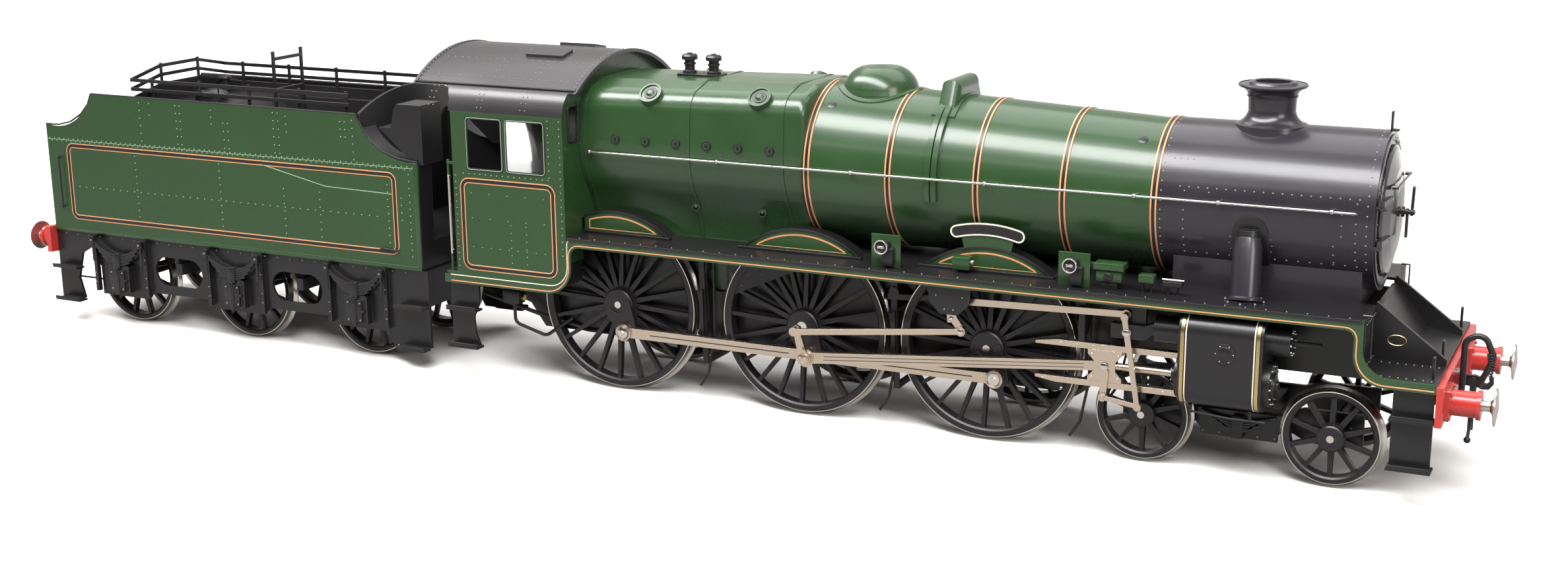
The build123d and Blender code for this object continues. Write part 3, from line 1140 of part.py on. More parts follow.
def cylinder_side(side):
    """One outside cylinder with its valve chest, bored for the piston and the rod."""
    with BuildPart() as block:
        with BuildSketch(Plane.YZ.offset(along(176))):
            with Locations((side * 33.2, (BLOCK_BOTTOM + BLOCK_TOP) / 2)):
                Rectangle(15.6, BLOCK_TOP - BLOCK_BOTTOM)
                outer_corners = vertices().filter_by(lambda v: abs(v.X) > 36)
                fillet(outer_corners, radius=6.2)
        extrude(amount=34 * INCH)
        with BuildSketch(Plane.YZ.offset(along(180.5))):
            with Locations((side * (FRAME_OUTER + 27) / 2, (up(46) + up(66)) / 2)):
                Rectangle(27 - FRAME_OUTER, up(66) - up(46))
        extrude(amount=25 * INCH)
        # Valve chest ends and cylinder covers
        for start, stop, place, radius in ((164.5, 219.5, (side * CHEST_Y, CHEST_Z), 5.9 * INCH),
                                           (219.0, 231.0, (side * CHEST_Y, CHEST_Z), 1.0 * INCH),
                                           (174.0, 212.5, (side * CYLINDER_Y, Z_CYLINDER), 9.2 * INCH),
                                           (171.5, 175.0, (side * CYLINDER_Y, Z_CYLINDER), 3.2 * INCH)):
            with BuildSketch(Plane.YZ.offset(along(start))):
                with Locations(place):
                    Circle(radius)
            extrude(amount=(stop - start) * INCH)
        with BuildSketch(Plane.YZ.offset(along(177.5))):
            with Locations((side * CYLINDER_Y, Z_CYLINDER)):
                Circle(CYLINDER_BORE_RADIUS)
        extrude(amount=31.8 * INCH, mode=Mode.SUBTRACT)
        with BuildSketch(Plane.YZ.offset(along(170))):
            with Locations((side * CYLINDER_Y, Z_CYLINDER)):
                Circle(1.25 + RUNNING)
        extrude(amount=9 * INCH, mode=Mode.SUBTRACT)
        # Relief valve boss on the outer face, drain cocks below
        with BuildSketch(side_plane(side, 40.6, 0.9)):
            with Locations((along(195), up(55.5))):
                Circle(3.3)
                Circle(2.5, mode=Mode.SUBTRACT)
        extrude(amount=0.9)
    return block.part


def steam_pipe(side):
    """The sloping casing from the smokebox's side down to the deck over the cylinder."""
    top, foot = (along(198), side * 25.6, up(103)), (along(199.2), side * 31.6, DECK_TOP)
    with BuildPart() as casing:
        with BuildSketch(Plane.XY.offset(foot[2])):
            with Locations((foot[0], foot[1])):
                Circle(4.4 * INCH)
        with BuildSketch(Plane.XY.offset(top[2])):
            with Locations((top[0], top[1])):
                Circle(4.4 * INCH)
        loft()
        with BuildSketch(Plane.XY.offset(foot[2])):
            with Locations((foot[0], foot[1])):
                Circle(6.6 * INCH)
        extrude(amount=0.7)
        # Arched flange against the smokebox
        with BuildPart(mode=Mode.PRIVATE) as flange:
            with BuildSketch(side_plane(side, 20, 10)):
                with Locations((along(198.4), up(95))):
                    SlotCenterToCenter(12 * INCH, 14.4 * INCH, rotation=90)
            extrude(amount=10)
            add(smokebox_round(0.5, 180, 220), mode=Mode.INTERSECT)
        add(flange.part)
        add(smokebox_round(0.01, 150, 250), mode=Mode.SUBTRACT)
    return casing.part.solids().sort_by(Axis.Z)[0]


save("cylinders", group(*[shape(side) for shape in (cylinder_side, steam_pipe) for side in SIDES.values()]))

BAR_INNER, BAR_THICK = 30.5, 2.9
BAR_NEAR, BAR_FAR = 6.8 * INCH, 9.3 * INCH
bar_solids, bracket_solids = [], []
for side in (RIGHT, LEFT):
    with BuildPart() as guides:
        for sign in (1, -1):
            with BuildSketch(side_plane(side, BAR_INNER, BAR_THICK)):
                low, high = sorted((Z_CYLINDER + sign * BAR_NEAR, Z_CYLINDER + sign * BAR_FAR))
                inner_z = low if sign > 0 else high
                outer_z = high if sign > 0 else low
                Polygon((along(113), inner_z), (along(173.9), inner_z), (along(173.9), outer_z),
                        (along(122), outer_z),
                        (along(113), inner_z + sign * 0.9))
            extrude(amount=BAR_THICK)
    with BuildPart() as hanger:
        # From the frame to the upper bar, in front of the leading wheel
        with BuildSketch(Plane.YZ.offset(along(131.2))):
            Polygon((side * FRAME_OUTER, up(70)), (side * (BAR_INNER + 2), up(70)),
                    (side * (BAR_INNER + 2), Z_CYLINDER + BAR_FAR + 0.01),
                    (side * BAR_INNER, Z_CYLINDER + BAR_FAR + 0.01), (side * FRAME_OUTER, up(62)))
        extrude(amount=2.6 * INCH)
    with BuildPart() as guide_bracket:
        # Valve spindle guide, with the pins for the combination lever and the radius rod
        with BuildSketch(side_plane(side, 31.6, 3.7)):
            Polygon(*[(along(px), up(pz)) for px, pz in ((146, 55.2), (160, 55.2), (164.4, 58.6),
                                                         (164.4, 63), (160, 61.2),
                                                        (146, 61.2))])
        extrude(amount=3.7)
        with BuildSketch(side_plane(side, 31.6, 1.7)):
            Polygon(*[(along(px), up(pz)) for px, pz in ((148, 61), (160, 61), (160, 68), (148, 68))])
        extrude(amount=1.7)
        add(side_pin(side, LEVER_PIVOT, SMALL_PIN_RADIUS, 35.2, LEVER_INNER + LEVER_THICK + 0.15))
        add(side_pin(side, RADIUS_ROD_FRONT, SMALL_PIN_RADIUS, 33.2, RADIUS_ROD_INNER + RADIUS_ROD_THICK))
    with BuildPart() as link_bracket:
        # U-shaped plate outside the expansion link, with the trunnion pin
        with BuildSketch(side_plane(side, LINK_INNER + LINK_THICK + 1.4, 0.8)):
            Polygon(*[(along(px), up(pz)) for px, pz in ((62, 73.7), (66, 70), (67.5, 62.5), (72, 58),
                                                         (80, 58),
                                                        (84.5, 62.5), (86, 70), (90, 73.7))])
        extrude(amount=0.8)
        add(side_pin(side, LINK_TRUNNION, SMALL_PIN_RADIUS, LINK_INNER, LINK_INNER + LINK_THICK + 1.5))
    bar_solids.append(guides.part)
    bracket_solids += [hanger.part, guide_bracket.part, link_bracket.part]
save("slide_bars", group(*bar_solids))
# Steps under the cab's rear end, hung from its floor
CAB_STEP_PLATE = 36.4
with BuildPart() as cab_step:
    with BuildSketch(side_plane(RIGHT, CAB_STEP_PLATE, 1.0)):
        Polygon(*[(along(px), up(pz)) for px, pz in
                  ((-181, 51.38), (-181, 15), (-165, 15), (-168, 22), (-168.5, 30), (-165, 38), (-165, 51.38))])
    extrude(amount=1.0)
    with BuildSketch(Plane.XY.offset(up(50))):
        with Locations((along(-173), -CAB_STEP_PLATE + 5)):
            Rectangle(14 * INCH, 10.2)
    extrude(amount=1.0)
    for height in (15, 33.5):
        with BuildSketch(Plane.XY.offset(up(height))):
            with Locations((along(-173), -CAB_STEP_PLATE - 2.2)):
                Rectangle(17 * INCH, 4.6)
        extrude(amount=0.8)
cab_steps = (cab_step.part, cab_step.part.mirror(Plane.XZ))
save("frame_stretchers", group(frame_stretchers.part, *axlebox_solids, *bracket_solids, *cab_steps))

# ---- brake gear and handrails ------------------------------------------------------
brake_solids = []
for axle_x in (X_TRAILING, X_DRIVING):
    for side in (RIGHT, LEFT):
        hang_x = axle_x + COUPLED_RADIUS + FLANGE_DEPTH + 1.4
        with BuildPart() as hanger:
            with BuildSketch(side_plane(side, 22.4, 1.0)):
                Polygon(*bar_points((hang_x - 0.9, up(68)), (hang_x + 0.6, up(16)), 1.1, 1.1))
            extrude(amount=1.0)
            with BuildSketch(side_plane(side, 22.4, 2.6)):
                Polygon((hang_x - 2.6, up(50)), (hang_x + 0.4, up(52)), (hang_x + 0.6, up(29)),
                        (hang_x - 2.6, up(31)))
                with Locations((axle_x, Z_COUPLED)):
                    Circle(COUPLED_RADIUS + FLANGE_DEPTH + 0.5, mode=Mode.SUBTRACT)
            extrude(amount=2.6)
            with BuildSketch(side_plane(side, FRAME_OUTER, 2.7)):
                with Locations((hang_x - 0.9, up(67))):
                    Circle(1.6)
            extrude(amount=2.7)
        brake_solids.append(hanger.part)
    with BuildPart() as cross_beam:
        with BuildSketch(Plane.XZ.offset(-22.38)):
            with Locations((axle_x + COUPLED_RADIUS + FLANGE_DEPTH + 2.0, up(17))):
                Rectangle(1.8, 1.8)
        extrude(amount=44.76)
    brake_solids.append(cross_beam.part)
save("brake_gear", group(*brake_solids))

KNOB_PLACES = (-106, -39.5, 26, 87.5, 152, 186.5, 231)
rail_solids = []
with BuildPart() as right_rail:
    with BuildSketch(Plane.YZ.offset(along(-108))):
        with Locations((-HANDRAIL_Y, HANDRAIL_Z)):
            Circle(0.42)
    extrude(amount=(240 + 108) * INCH)
    for place in KNOB_PLACES:
        if place < BARREL_REAR:
            shell_half = 36.3 * INCH
        else:
            radius, height = barrel_at(place) if place < BARREL_FRONT else (SMOKEBOX_RADIUS * INCH,
                                                                            up(SMOKEBOX_HEIGHT))
            shell_half = sqrt(radius**2 - (HANDRAIL_Z - height) ** 2)
        with BuildSketch(Plane.XZ.offset(shell_half + 0.03)):
            with Locations((along(place), HANDRAIL_Z)):
                Circle(0.4)
        extrude(amount=HANDRAIL_Y - shell_half - 0.03)
        with Locations((along(place), -HANDRAIL_Y, HANDRAIL_Z)):
            Sphere(0.85)
save("handrails", group(right_rail.part, right_rail.part.mirror(Plane.XZ)))

# ---- bogie --------------------------------------------------------------------------------------
BOGIE_PLATE_INNER, BOGIE_PLATE_THICK = 15.2, 1.6
with BuildPart() as bogie_frame:
    with BuildSketch(side_plane(RIGHT, BOGIE_PLATE_INNER, BOGIE_PLATE_THICK)):
        Polygon(*[(along(px), up(pz)) for px, pz in ((146, 27.5), (146, 13), (168, 13), (176, 17),
                                                     (216, 17), (224, 13),
                                                    (246, 13), (246, 27.5), (222, 27.5), (214, 25),
                                                    (178, 25),
                                                    (170, 27.5))])
        for axle_x in X_BOGIE.values():
            with Locations((axle_x, Z_BOGIE)):
                Circle(SMALL_AXLE_RADIUS + RUNNING, mode=Mode.SUBTRACT)
    extrude(amount=BOGIE_PLATE_THICK)
    mirror(about=Plane.XZ)
    with BuildSketch(Plane.XY.offset(up(18))):
        with Locations((PIVOT_X, 0)):
            Rectangle(24 * INCH, 2 * BOGIE_PLATE_INNER)
            Circle(PIVOT_RADIUS + RUNNING, mode=Mode.SUBTRACT)
    extrude(amount=6 * INCH)
    with BuildSketch(Plane.XZ.offset(BOGIE_PLATE_INNER + BOGIE_PLATE_THICK)):
        Polygon(*[(along(px), up(pz)) for px, pz in ((180, 12), (212, 12), (212, 14.5), (214, 17),
                                                     (214, 23.5),
                                                    (178, 23.5), (178, 17), (180, 14.5))])
    extrude(amount=1.9)
    with BuildSketch(Plane.XZ.offset(-BOGIE_PLATE_INNER - BOGIE_PLATE_THICK - 1.9)):
        Polygon(*[(along(px), up(pz)) for px, pz in ((180, 12), (212, 12), (212, 14.5), (214, 17),
                                                     (214, 23.5),
                                                    (178, 23.5), (178, 17), (180, 14.5))])
    extrude(amount=1.9)
save("bogie_frame", bogie_frame.part)

# ---- tender -------------------------------------------------------------------------------------
AXLEBOX_OUT = TENDER_FRAME_INNER + TENDER_FRAME_THICK
with BuildPart() as tender_frames:
    with BuildSketch(side_plane(RIGHT, TENDER_FRAME_INNER, TENDER_FRAME_THICK)):
        Polygon(*[(along(px), up(pz)) for px, pz in
                  ((-443, 48), (-443, 11), (-427, 11), (-430, 22), (-426, 36), (-419, 40), (-413, 30),
                   (-413, 15),
                   (-381, 15), (-378, 19), (-338, 19), (-335, 15), (-303, 15), (-300, 19), (-260, 19),
                   (-257, 15),
                   (-225, 15), (-222, 9), (-199, 9), (-199, 48))])
        for hole_x in (-358.8, -280.5):
            with Locations((along(hole_x), up(31.5))):
                SlotOverall(31.8 * INCH, 15.5 * INCH, mode=Mode.SUBTRACT)
        for axle_x in X_TENDER_AXLES.values():
            with Locations((axle_x, Z_TENDER)):
                Circle(SMALL_AXLE_RADIUS + RUNNING, mode=Mode.SUBTRACT)
    extrude(amount=TENDER_FRAME_THICK)
    # Hornguide ribs, axlebox covers and leaf springs
    for axle_x in X_TENDER_AXLES.values():
        for rib in (-17.5, 17.5):
            with BuildSketch(side_plane(RIGHT, AXLEBOX_OUT, 2.0)):
                with Locations((axle_x + rib * INCH, up(32))):
                    Rectangle(1.6, 30 * INCH)
            extrude(amount=2.0)
        with BuildSketch(side_plane(RIGHT, AXLEBOX_OUT, 3.2)):
            with Locations((axle_x, Z_TENDER)):
                RectangleRounded(14 * INCH, 15 * INCH, 1.2)
                Circle(SMALL_AXLE_RADIUS + RUNNING, mode=Mode.SUBTRACT)
        extrude(amount=3.2)
        with BuildSketch(side_plane(RIGHT, AXLEBOX_OUT + 1.6, 2.0)):
            with Locations((axle_x, Z_TENDER)):
                RectangleRounded(11 * INCH, 12 * INCH, 1.0)
        extrude(amount=2.0)
        with BuildSketch(side_plane(RIGHT, AXLEBOX_OUT, 2.6)):
            # The spring hangs below its anchor line as a shallow arc, thickest in the middle.
            with BuildLine():
                ThreePointArc((axle_x - 17 * INCH, up(46.5)), (axle_x, up(38.5)),
                              (axle_x + 17 * INCH, up(46.5)))
                Line((axle_x + 17 * INCH, up(46.5)), (axle_x + 17 * INCH, up(43.8)))
                ThreePointArc((axle_x + 17 * INCH, up(43.8)), (axle_x, up(33.8)),
                              (axle_x - 17 * INCH, up(43.8)))
                Line((axle_x - 17 * INCH, up(43.8)), (axle_x - 17 * INCH, up(46.5)))
            make_face()
        extrude(amount=2.6)
    # Step treads at both ends
    for step_x, heights in ((-208, (8, 29)), (-434, (10, 28))):
        for height in heights:
            with BuildSketch(Plane.XY.offset(up(height))):
                with Locations((along(step_x), -AXLEBOX_OUT - 2.2)):
                    Rectangle(17 * INCH, 4.6)
            extrude(amount=0.8)
    mirror(about=Plane.XZ)
    # Front drag box, rear stretcher and two between hold the frames together.
    for start, stop, low, high in ((-202, -199, 30, 48), (-282, -278, 30, 36), (-362, -358, 30, 36),
                                   (-443.02, -441, 36, 48)):
        with BuildSketch(Plane.YZ.offset(along(start))):
            with Locations((0, (up(low) + up(high)) / 2)):
                Rectangle(2 * TENDER_FRAME_INNER + 0.02, up(high) - up(low))
        extrude(amount=(stop - start) * INCH)
with BuildPart() as drawbar:
    with BuildSketch(Plane.XY.offset(up(40))):
        with Locations(DRAWBAR):
            Circle(3.0)
        with Locations((along(-194.5), 0)):
            Rectangle(9 * INCH, 4.4)
        with Locations(DRAWBAR):
            Circle(DRAW_PIN_RADIUS + RUNNING, mode=Mode.SUBTRACT)
    extrude(amount=1.8)
TENDER_BEAM = along(-446)
tender_stocks = [buffer_stock(TENDER_BEAM - 0.5, -1, side) for side in SIDES.values()]
tender_hook = draw_hook(TENDER_BEAM, -1)
with BuildPart() as rear_beam:
    with BuildSketch(Plane.YZ.offset(TENDER_BEAM)):
        with Locations((0, (up(36) + up(50)) / 2)):
            Rectangle(2 * HALF_WIDTH - 8, up(50) - up(36))
    extrude(amount=along(-443.04) - TENDER_BEAM)
    for side in (RIGHT, LEFT):
        with BuildSketch(Plane.YZ.offset(TENDER_BEAM - 0.5)):
            with Locations((side * BUFFER_Y, BUFFER_Z)):
                RectangleRounded(10.6, 10.6, 1.5)
        extrude(amount=0.5)
save("tender_frames", group(tender_frames.part, drawbar.part, tender_hook))
save("tender_buffer_beam", group(rear_beam.part, *tender_stocks))

SIDE_SHEET = 0.8
BUNKER_HALF = 31 * INCH
FILLER_AT, FILLER_RADIUS = along(-363), 6.0
DECK_Z = up(117)
LID_HINGE = (FILLER_AT - FILLER_RADIUS - 0.9, DECK_Z + 3.1)
with BuildPart() as tender_tank:
    with BuildSketch(Plane.XZ.offset(-TANK_HALF)):
        with BuildLine():
            start = (along(TANK_REAR), up(48.1))
            Polyline((along(TANK_FRONT), up(102.5)), (along(TANK_FRONT), up(48.1)), start,
                     (along(TANK_REAR), up(105.9)))
            ThreePointArc((along(TANK_REAR), up(105.9)), (along(-420), up(109.5)),
                          (along(-408.4), up(123.8)))
            Line((along(-408.4), up(123.8)), (along(-236.6), up(123.8)))
            ThreePointArc((along(-236.6), up(123.8)), (along(-224.5), up(107.8)),
                          (along(TANK_FRONT), up(102.5)))
        make_face()
    extrude(amount=2 * TANK_HALF)
    # Between the side sheets the deck is lower, and the coal space is cut down into it.
    with BuildSketch(Plane.XZ.offset(-TANK_HALF + SIDE_SHEET)):
        Polygon(*[(along(px), up(pz)) for px, pz in ((-441, 103), (-424, 104), (-400, 117), (-222, 117),
                                                     (-203, 101),
                                                    (-190, 101), (-190, 130), (-450, 130), (-450, 103))])
    extrude(amount=2 * (TANK_HALF - SIDE_SHEET), mode=Mode.SUBTRACT)
    with BuildSketch(Plane.XZ.offset(-BUNKER_HALF)):
        Polygon(*[(along(px), up(pz)) for px, pz in ((-347, 118), (-331, 100), (-226, 62), (-200, 62),
                                                     (-200, 118))])
    extrude(amount=2 * BUNKER_HALF, mode=Mode.SUBTRACT)
    # Wells for the wheels, in the tank's floor
    for side in (RIGHT, LEFT):
        with BuildSketch(side_plane(side, 20.4, 7.4)):
            Polygon(*[(along(px), up(pz)) for px, pz in ((-438, 48), (-438, 54), (-206, 54), (-206, 48))])
        extrude(amount=7.4, mode=Mode.SUBTRACT)
    # Water space, filled through the hole behind the coal
    with BuildSketch(Plane.XZ.offset(-TANK_HALF + SIDE_SHEET)):
        Polygon(*[(along(px), up(pz)) for px, pz in ((-440, 55.5), (-206, 55.5), (-206, 58), (-230, 58),
                                                     (-334, 96),
                                                    (-352, 115), (-400, 115), (-424, 101.5), (-440, 100))])
    extrude(amount=2 * (TANK_HALF - SIDE_SHEET), mode=Mode.SUBTRACT)
    with BuildSketch(Plane.XY.offset(up(95))):
        with Locations((FILLER_AT, 0)):
            Circle(FILLER_RADIUS - 1.2)
    extrude(amount=24 * INCH, mode=Mode.SUBTRACT)
    with BuildSketch(Plane.XY.offset(DECK_Z)):
        with Locations((FILLER_AT, 0)):
            Circle(FILLER_RADIUS)
            Circle(FILLER_RADIUS - 1.2, mode=Mode.SUBTRACT)
    extrude(amount=2.2)
    # Two lugs and the pin that the lid's ear turns on
    for side in (RIGHT, LEFT):
        with BuildSketch(side_plane(side, 1.65, 0.8)):
            Polygon((LID_HINGE[0] - 0.9, DECK_Z - 0.2), (LID_HINGE[0] + 0.45, DECK_Z - 0.2),
                    (LID_HINGE[0] + 0.45, LID_HINGE[1] + 0.6), (LID_HINGE[0] - 0.9, LID_HINGE[1] + 0.6))
        extrude(amount=0.8)
    add(side_pin(LEFT, LID_HINGE, 0.4, -2.0, 2.0))
save("tender_tank", tender_tank.part)

TANK_INSIDE = TANK_HALF - SIDE_SHEET - 0.02
with BuildPart() as lockers:
    # Tool lockers either side of the shovelling gap, each with a tray at its foot
    for side in (RIGHT, LEFT):
        low, high = sorted((side * 20.0, side * TANK_INSIDE))
        with BuildSketch(Plane.XZ.offset(-high)):
            Polygon(*[(along(px), up(pz)) for px, pz in ((-203, 101.05), (-198, 101.05), (-198, 130),
                                                         (-212, 130),
                                                        (-214, 127), (-216, 118.2), (-223, 118.2),
                                                        (-223, 117.02),
                                                        (-222, 117.02))])
        extrude(amount=high - low)
BULKHEAD_REAR = -236
with BuildPart() as bulkhead:
    # Arched front plate of the coal space, with the shovelling gap
    with BuildSketch(Plane.YZ.offset(along(BULKHEAD_REAR))):
        with BuildLine():
            edge = TANK_INSIDE
            ThreePointArc((-edge, up(124)), (0, up(133)), (edge, up(124)))
            Polyline((edge, up(124)), (edge, DECK_Z + 0.01), (BUNKER_HALF - 0.01, DECK_Z + 0.01),
                     (BUNKER_HALF - 0.01, up(66)), (-BUNKER_HALF + 0.01, up(66)),
                     (-BUNKER_HALF + 0.01, DECK_Z + 0.01), (-edge, DECK_Z + 0.01), (-edge, up(124)))
        make_face()
        with Locations((0, up(78))):
            Rectangle(24 * INCH, 26 * INCH, mode=Mode.SUBTRACT)
    extrude(amount=1.2)

with BuildPart() as tender_filler_lid:
    with BuildSketch(Plane.XZ):
        with BuildLine():
            Polyline((0, DECK_Z + 2.3), (FILLER_RADIUS + 0.3, DECK_Z + 2.3),
                     (FILLER_RADIUS + 0.3, DECK_Z + 3.0))
            ThreePointArc((FILLER_RADIUS + 0.3, DECK_Z + 3.0), (3.6, DECK_Z + 4.6), (0, DECK_Z + 5.1))
            Line((0, DECK_Z + 5.1), (0, DECK_Z + 2.3))
        make_face()
    revolve(axis=Axis.Z)
lid_solid = Pos(FILLER_AT, 0, 0) * tender_filler_lid.part
with BuildPart() as lid_with_ear:
    add(lid_solid)
    with BuildSketch(Plane.XZ.offset(-1.5)):
        with Locations(LID_HINGE):
            Circle(0.9)
        Polygon((LID_HINGE[0], LID_HINGE[1] - 0.7), (LID_HINGE[0] + 2.2, LID_HINGE[1] - 0.7),
                (LID_HINGE[0] + 2.2, LID_HINGE[1] + 0.7), (LID_HINGE[0], LID_HINGE[1] + 0.7))
        with Locations(LID_HINGE):
            Circle(0.4 + RUNNING, mode=Mode.SUBTRACT)
    extrude(amount=3.0)
save("tender_filler_lid", lid_with_ear.part)

# Coal rails: a low plate and two bars round the coal space, the rear ones rising in the middle
RAIL_REAR, RAIL_FRONT, RAIL_HALF = along(-386), along(-245), 36 * INCH
KNUCKLE_Y, KNUCKLE_RISE = 14 * INCH, 3.8
RAIL_LEVELS = ((DECK_Z + 0.01, up(122.5)), (up(125.8), up(127.6)), (up(130.6), up(132.4)))
with BuildPart() as coal_rails:
    for low, high in RAIL_LEVELS:
        for side in (RIGHT, LEFT):
            with BuildSketch(side_plane(side, RAIL_HALF - 0.7, 0.7)):
                Polygon((RAIL_REAR, low), (RAIL_FRONT, low), (RAIL_FRONT, high), (RAIL_REAR, high))
            extrude(amount=0.7)
        rise_low = 0 if low < up(120) else KNUCKLE_RISE
        with BuildSketch(Plane.YZ.offset(RAIL_REAR)):
            Polygon((-RAIL_HALF, low), (-KNUCKLE_Y, low + rise_low), (KNUCKLE_Y, low + rise_low),
                    (RAIL_HALF, low),
                    (RAIL_HALF, high), (KNUCKLE_Y, high + KNUCKLE_RISE), (-KNUCKLE_Y, high + KNUCKLE_RISE),
                    (-RAIL_HALF, high))
        extrude(amount=0.7)
    for side in (RIGHT, LEFT):
        for post_x in (-372, -340, -308, -276, -247):
            with BuildSketch(side_plane(side, RAIL_HALF - 1.1, 0.6)):
                with Locations((along(post_x), (DECK_Z + 0.01 + up(133.2)) / 2)):
                    Rectangle(1.3, up(133.2) - DECK_Z - 0.01)
            extrude(amount=0.6)
        with BuildSketch(Plane.YZ.offset(RAIL_REAR + 0.5)):
            with Locations((side * KNUCKLE_Y, (DECK_Z + 0.01 + up(133) + KNUCKLE_RISE) / 2)):
                Rectangle(1.3, up(133) + KNUCKLE_RISE - DECK_Z - 0.01)
        extrude(amount=0.6)
# Frame for the fire irons, standing on the coal space's sloping floor
with BuildPart() as iron_frame:
    with BuildSketch(Plane.YZ.offset(along(-312))):
        for side in (RIGHT, LEFT):
            with Locations((side * 11 * INCH, (up(93.6) + up(147)) / 2)):
                Rectangle(1.2, up(147) - up(93.6))
        for height in (113, 127, 143):
            with Locations((0, up(height))):
                Rectangle(22 * INCH, 1.3)
    extrude(amount=1.0)
save("coal_rails", group(coal_rails.part, iron_frame.part, lockers.part, bulkhead.part))
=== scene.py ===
"""Live steam 4-6-0 tender engine: finishes, small fittings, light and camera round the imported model."""

import logging
import math
from dataclasses import dataclass
from enum import Enum
from typing import Callable, Dict, List, Optional, Sequence, Tuple

import bmesh
import bpy
from mathutils import Matrix, Vector


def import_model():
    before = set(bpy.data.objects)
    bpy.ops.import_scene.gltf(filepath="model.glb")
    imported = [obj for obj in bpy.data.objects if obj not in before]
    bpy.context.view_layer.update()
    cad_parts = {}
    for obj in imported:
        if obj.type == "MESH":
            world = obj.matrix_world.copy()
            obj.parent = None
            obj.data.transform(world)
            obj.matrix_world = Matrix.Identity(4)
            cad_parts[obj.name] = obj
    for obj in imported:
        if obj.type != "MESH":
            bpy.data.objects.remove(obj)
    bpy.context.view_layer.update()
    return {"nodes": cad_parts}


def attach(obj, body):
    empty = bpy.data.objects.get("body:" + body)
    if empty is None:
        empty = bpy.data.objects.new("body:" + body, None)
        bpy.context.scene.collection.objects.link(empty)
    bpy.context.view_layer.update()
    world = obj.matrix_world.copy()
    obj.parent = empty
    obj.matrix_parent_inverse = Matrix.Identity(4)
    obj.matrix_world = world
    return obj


LOG = logging.getLogger("engine")
INCH = 0.0254 / 32
MM = 0.001
Colour = Tuple[float, float, float]


def along(inches: float) -> float:
    """X in metres of a place in full-size inches ahead of the driving axle."""
    return (inches + 83) * INCH


def up(inches: float) -> float:
    """Z in metres of a height in full-size inches above the rail."""
    return 0.0012 + inches * INCH


def at(x: float, y: float, z: float) -> Vector:
    """A point from full-size inches along and up, and millimetres across."""
    return Vector((along(x), y * MM, up(z)))


class Slot(Enum):
    """The record's material slots."""

    GREEN = "green_paint"
    BLACK = "black_paint"
    SMOKEBOX = "smokebox_paint"
    RED = "buffer_red"
    WHEEL = "wheel_steel"
    MOTION = "motion_steel"
    HANDRAIL = "handrail_steel"
    COPPER = "boiler_copper"
    BRASS = "valve_brass"


class Graph:
    """A small helper round one material's node tree."""

    def __init__(self, name: str) -> None:
        """Makes the material with its Principled shader.

        Args:
            name: the material's name.
        """
        self.material = bpy.data.materials.new(name)
        self.material.use_nodes = True
        self.tree = self.material.node_tree
        self.shader = self.tree.nodes["Principled BSDF"]

    def node(self, kind: str, **values: object) -> bpy.types.Node:
        """A new node with some of its properties set."""
        made = self.tree.nodes.new(kind)
        for key, value in values.items():
            setattr(made, key, value)
        return made

    def link(self, start: bpy.types.NodeSocket, end: bpy.types.NodeSocket) -> None:
        """Joins two sockets."""
        self.tree.links.new(start, end)

    def maths(self, kind: str, first: object, second: object) -> bpy.types.NodeSocket:
        """A Math node on two sockets or numbers."""
        node = self.node("ShaderNodeMath", operation=kind)
        for index, value in enumerate((first, second)):
            if isinstance(value, (int, float)):
                node.inputs[index].default_value = value
            else:
                self.link(value, node.inputs[index])
        return node.outputs[0]

    def place(self, axis: int) -> bpy.types.NodeSocket:
        """One coordinate of the surface point, in metres: 0, 1 or 2."""
        split = self.node("ShaderNodeSeparateXYZ")
        self.link(self.node("ShaderNodeTexCoord").outputs["Object"], split.inputs[0])
        return split.outputs[axis]

    def above(self, value: object, limit: float) -> bpy.types.NodeSocket:
        """1 where a value is over a limit."""
        return self.maths("GREATER_THAN", value, limit)


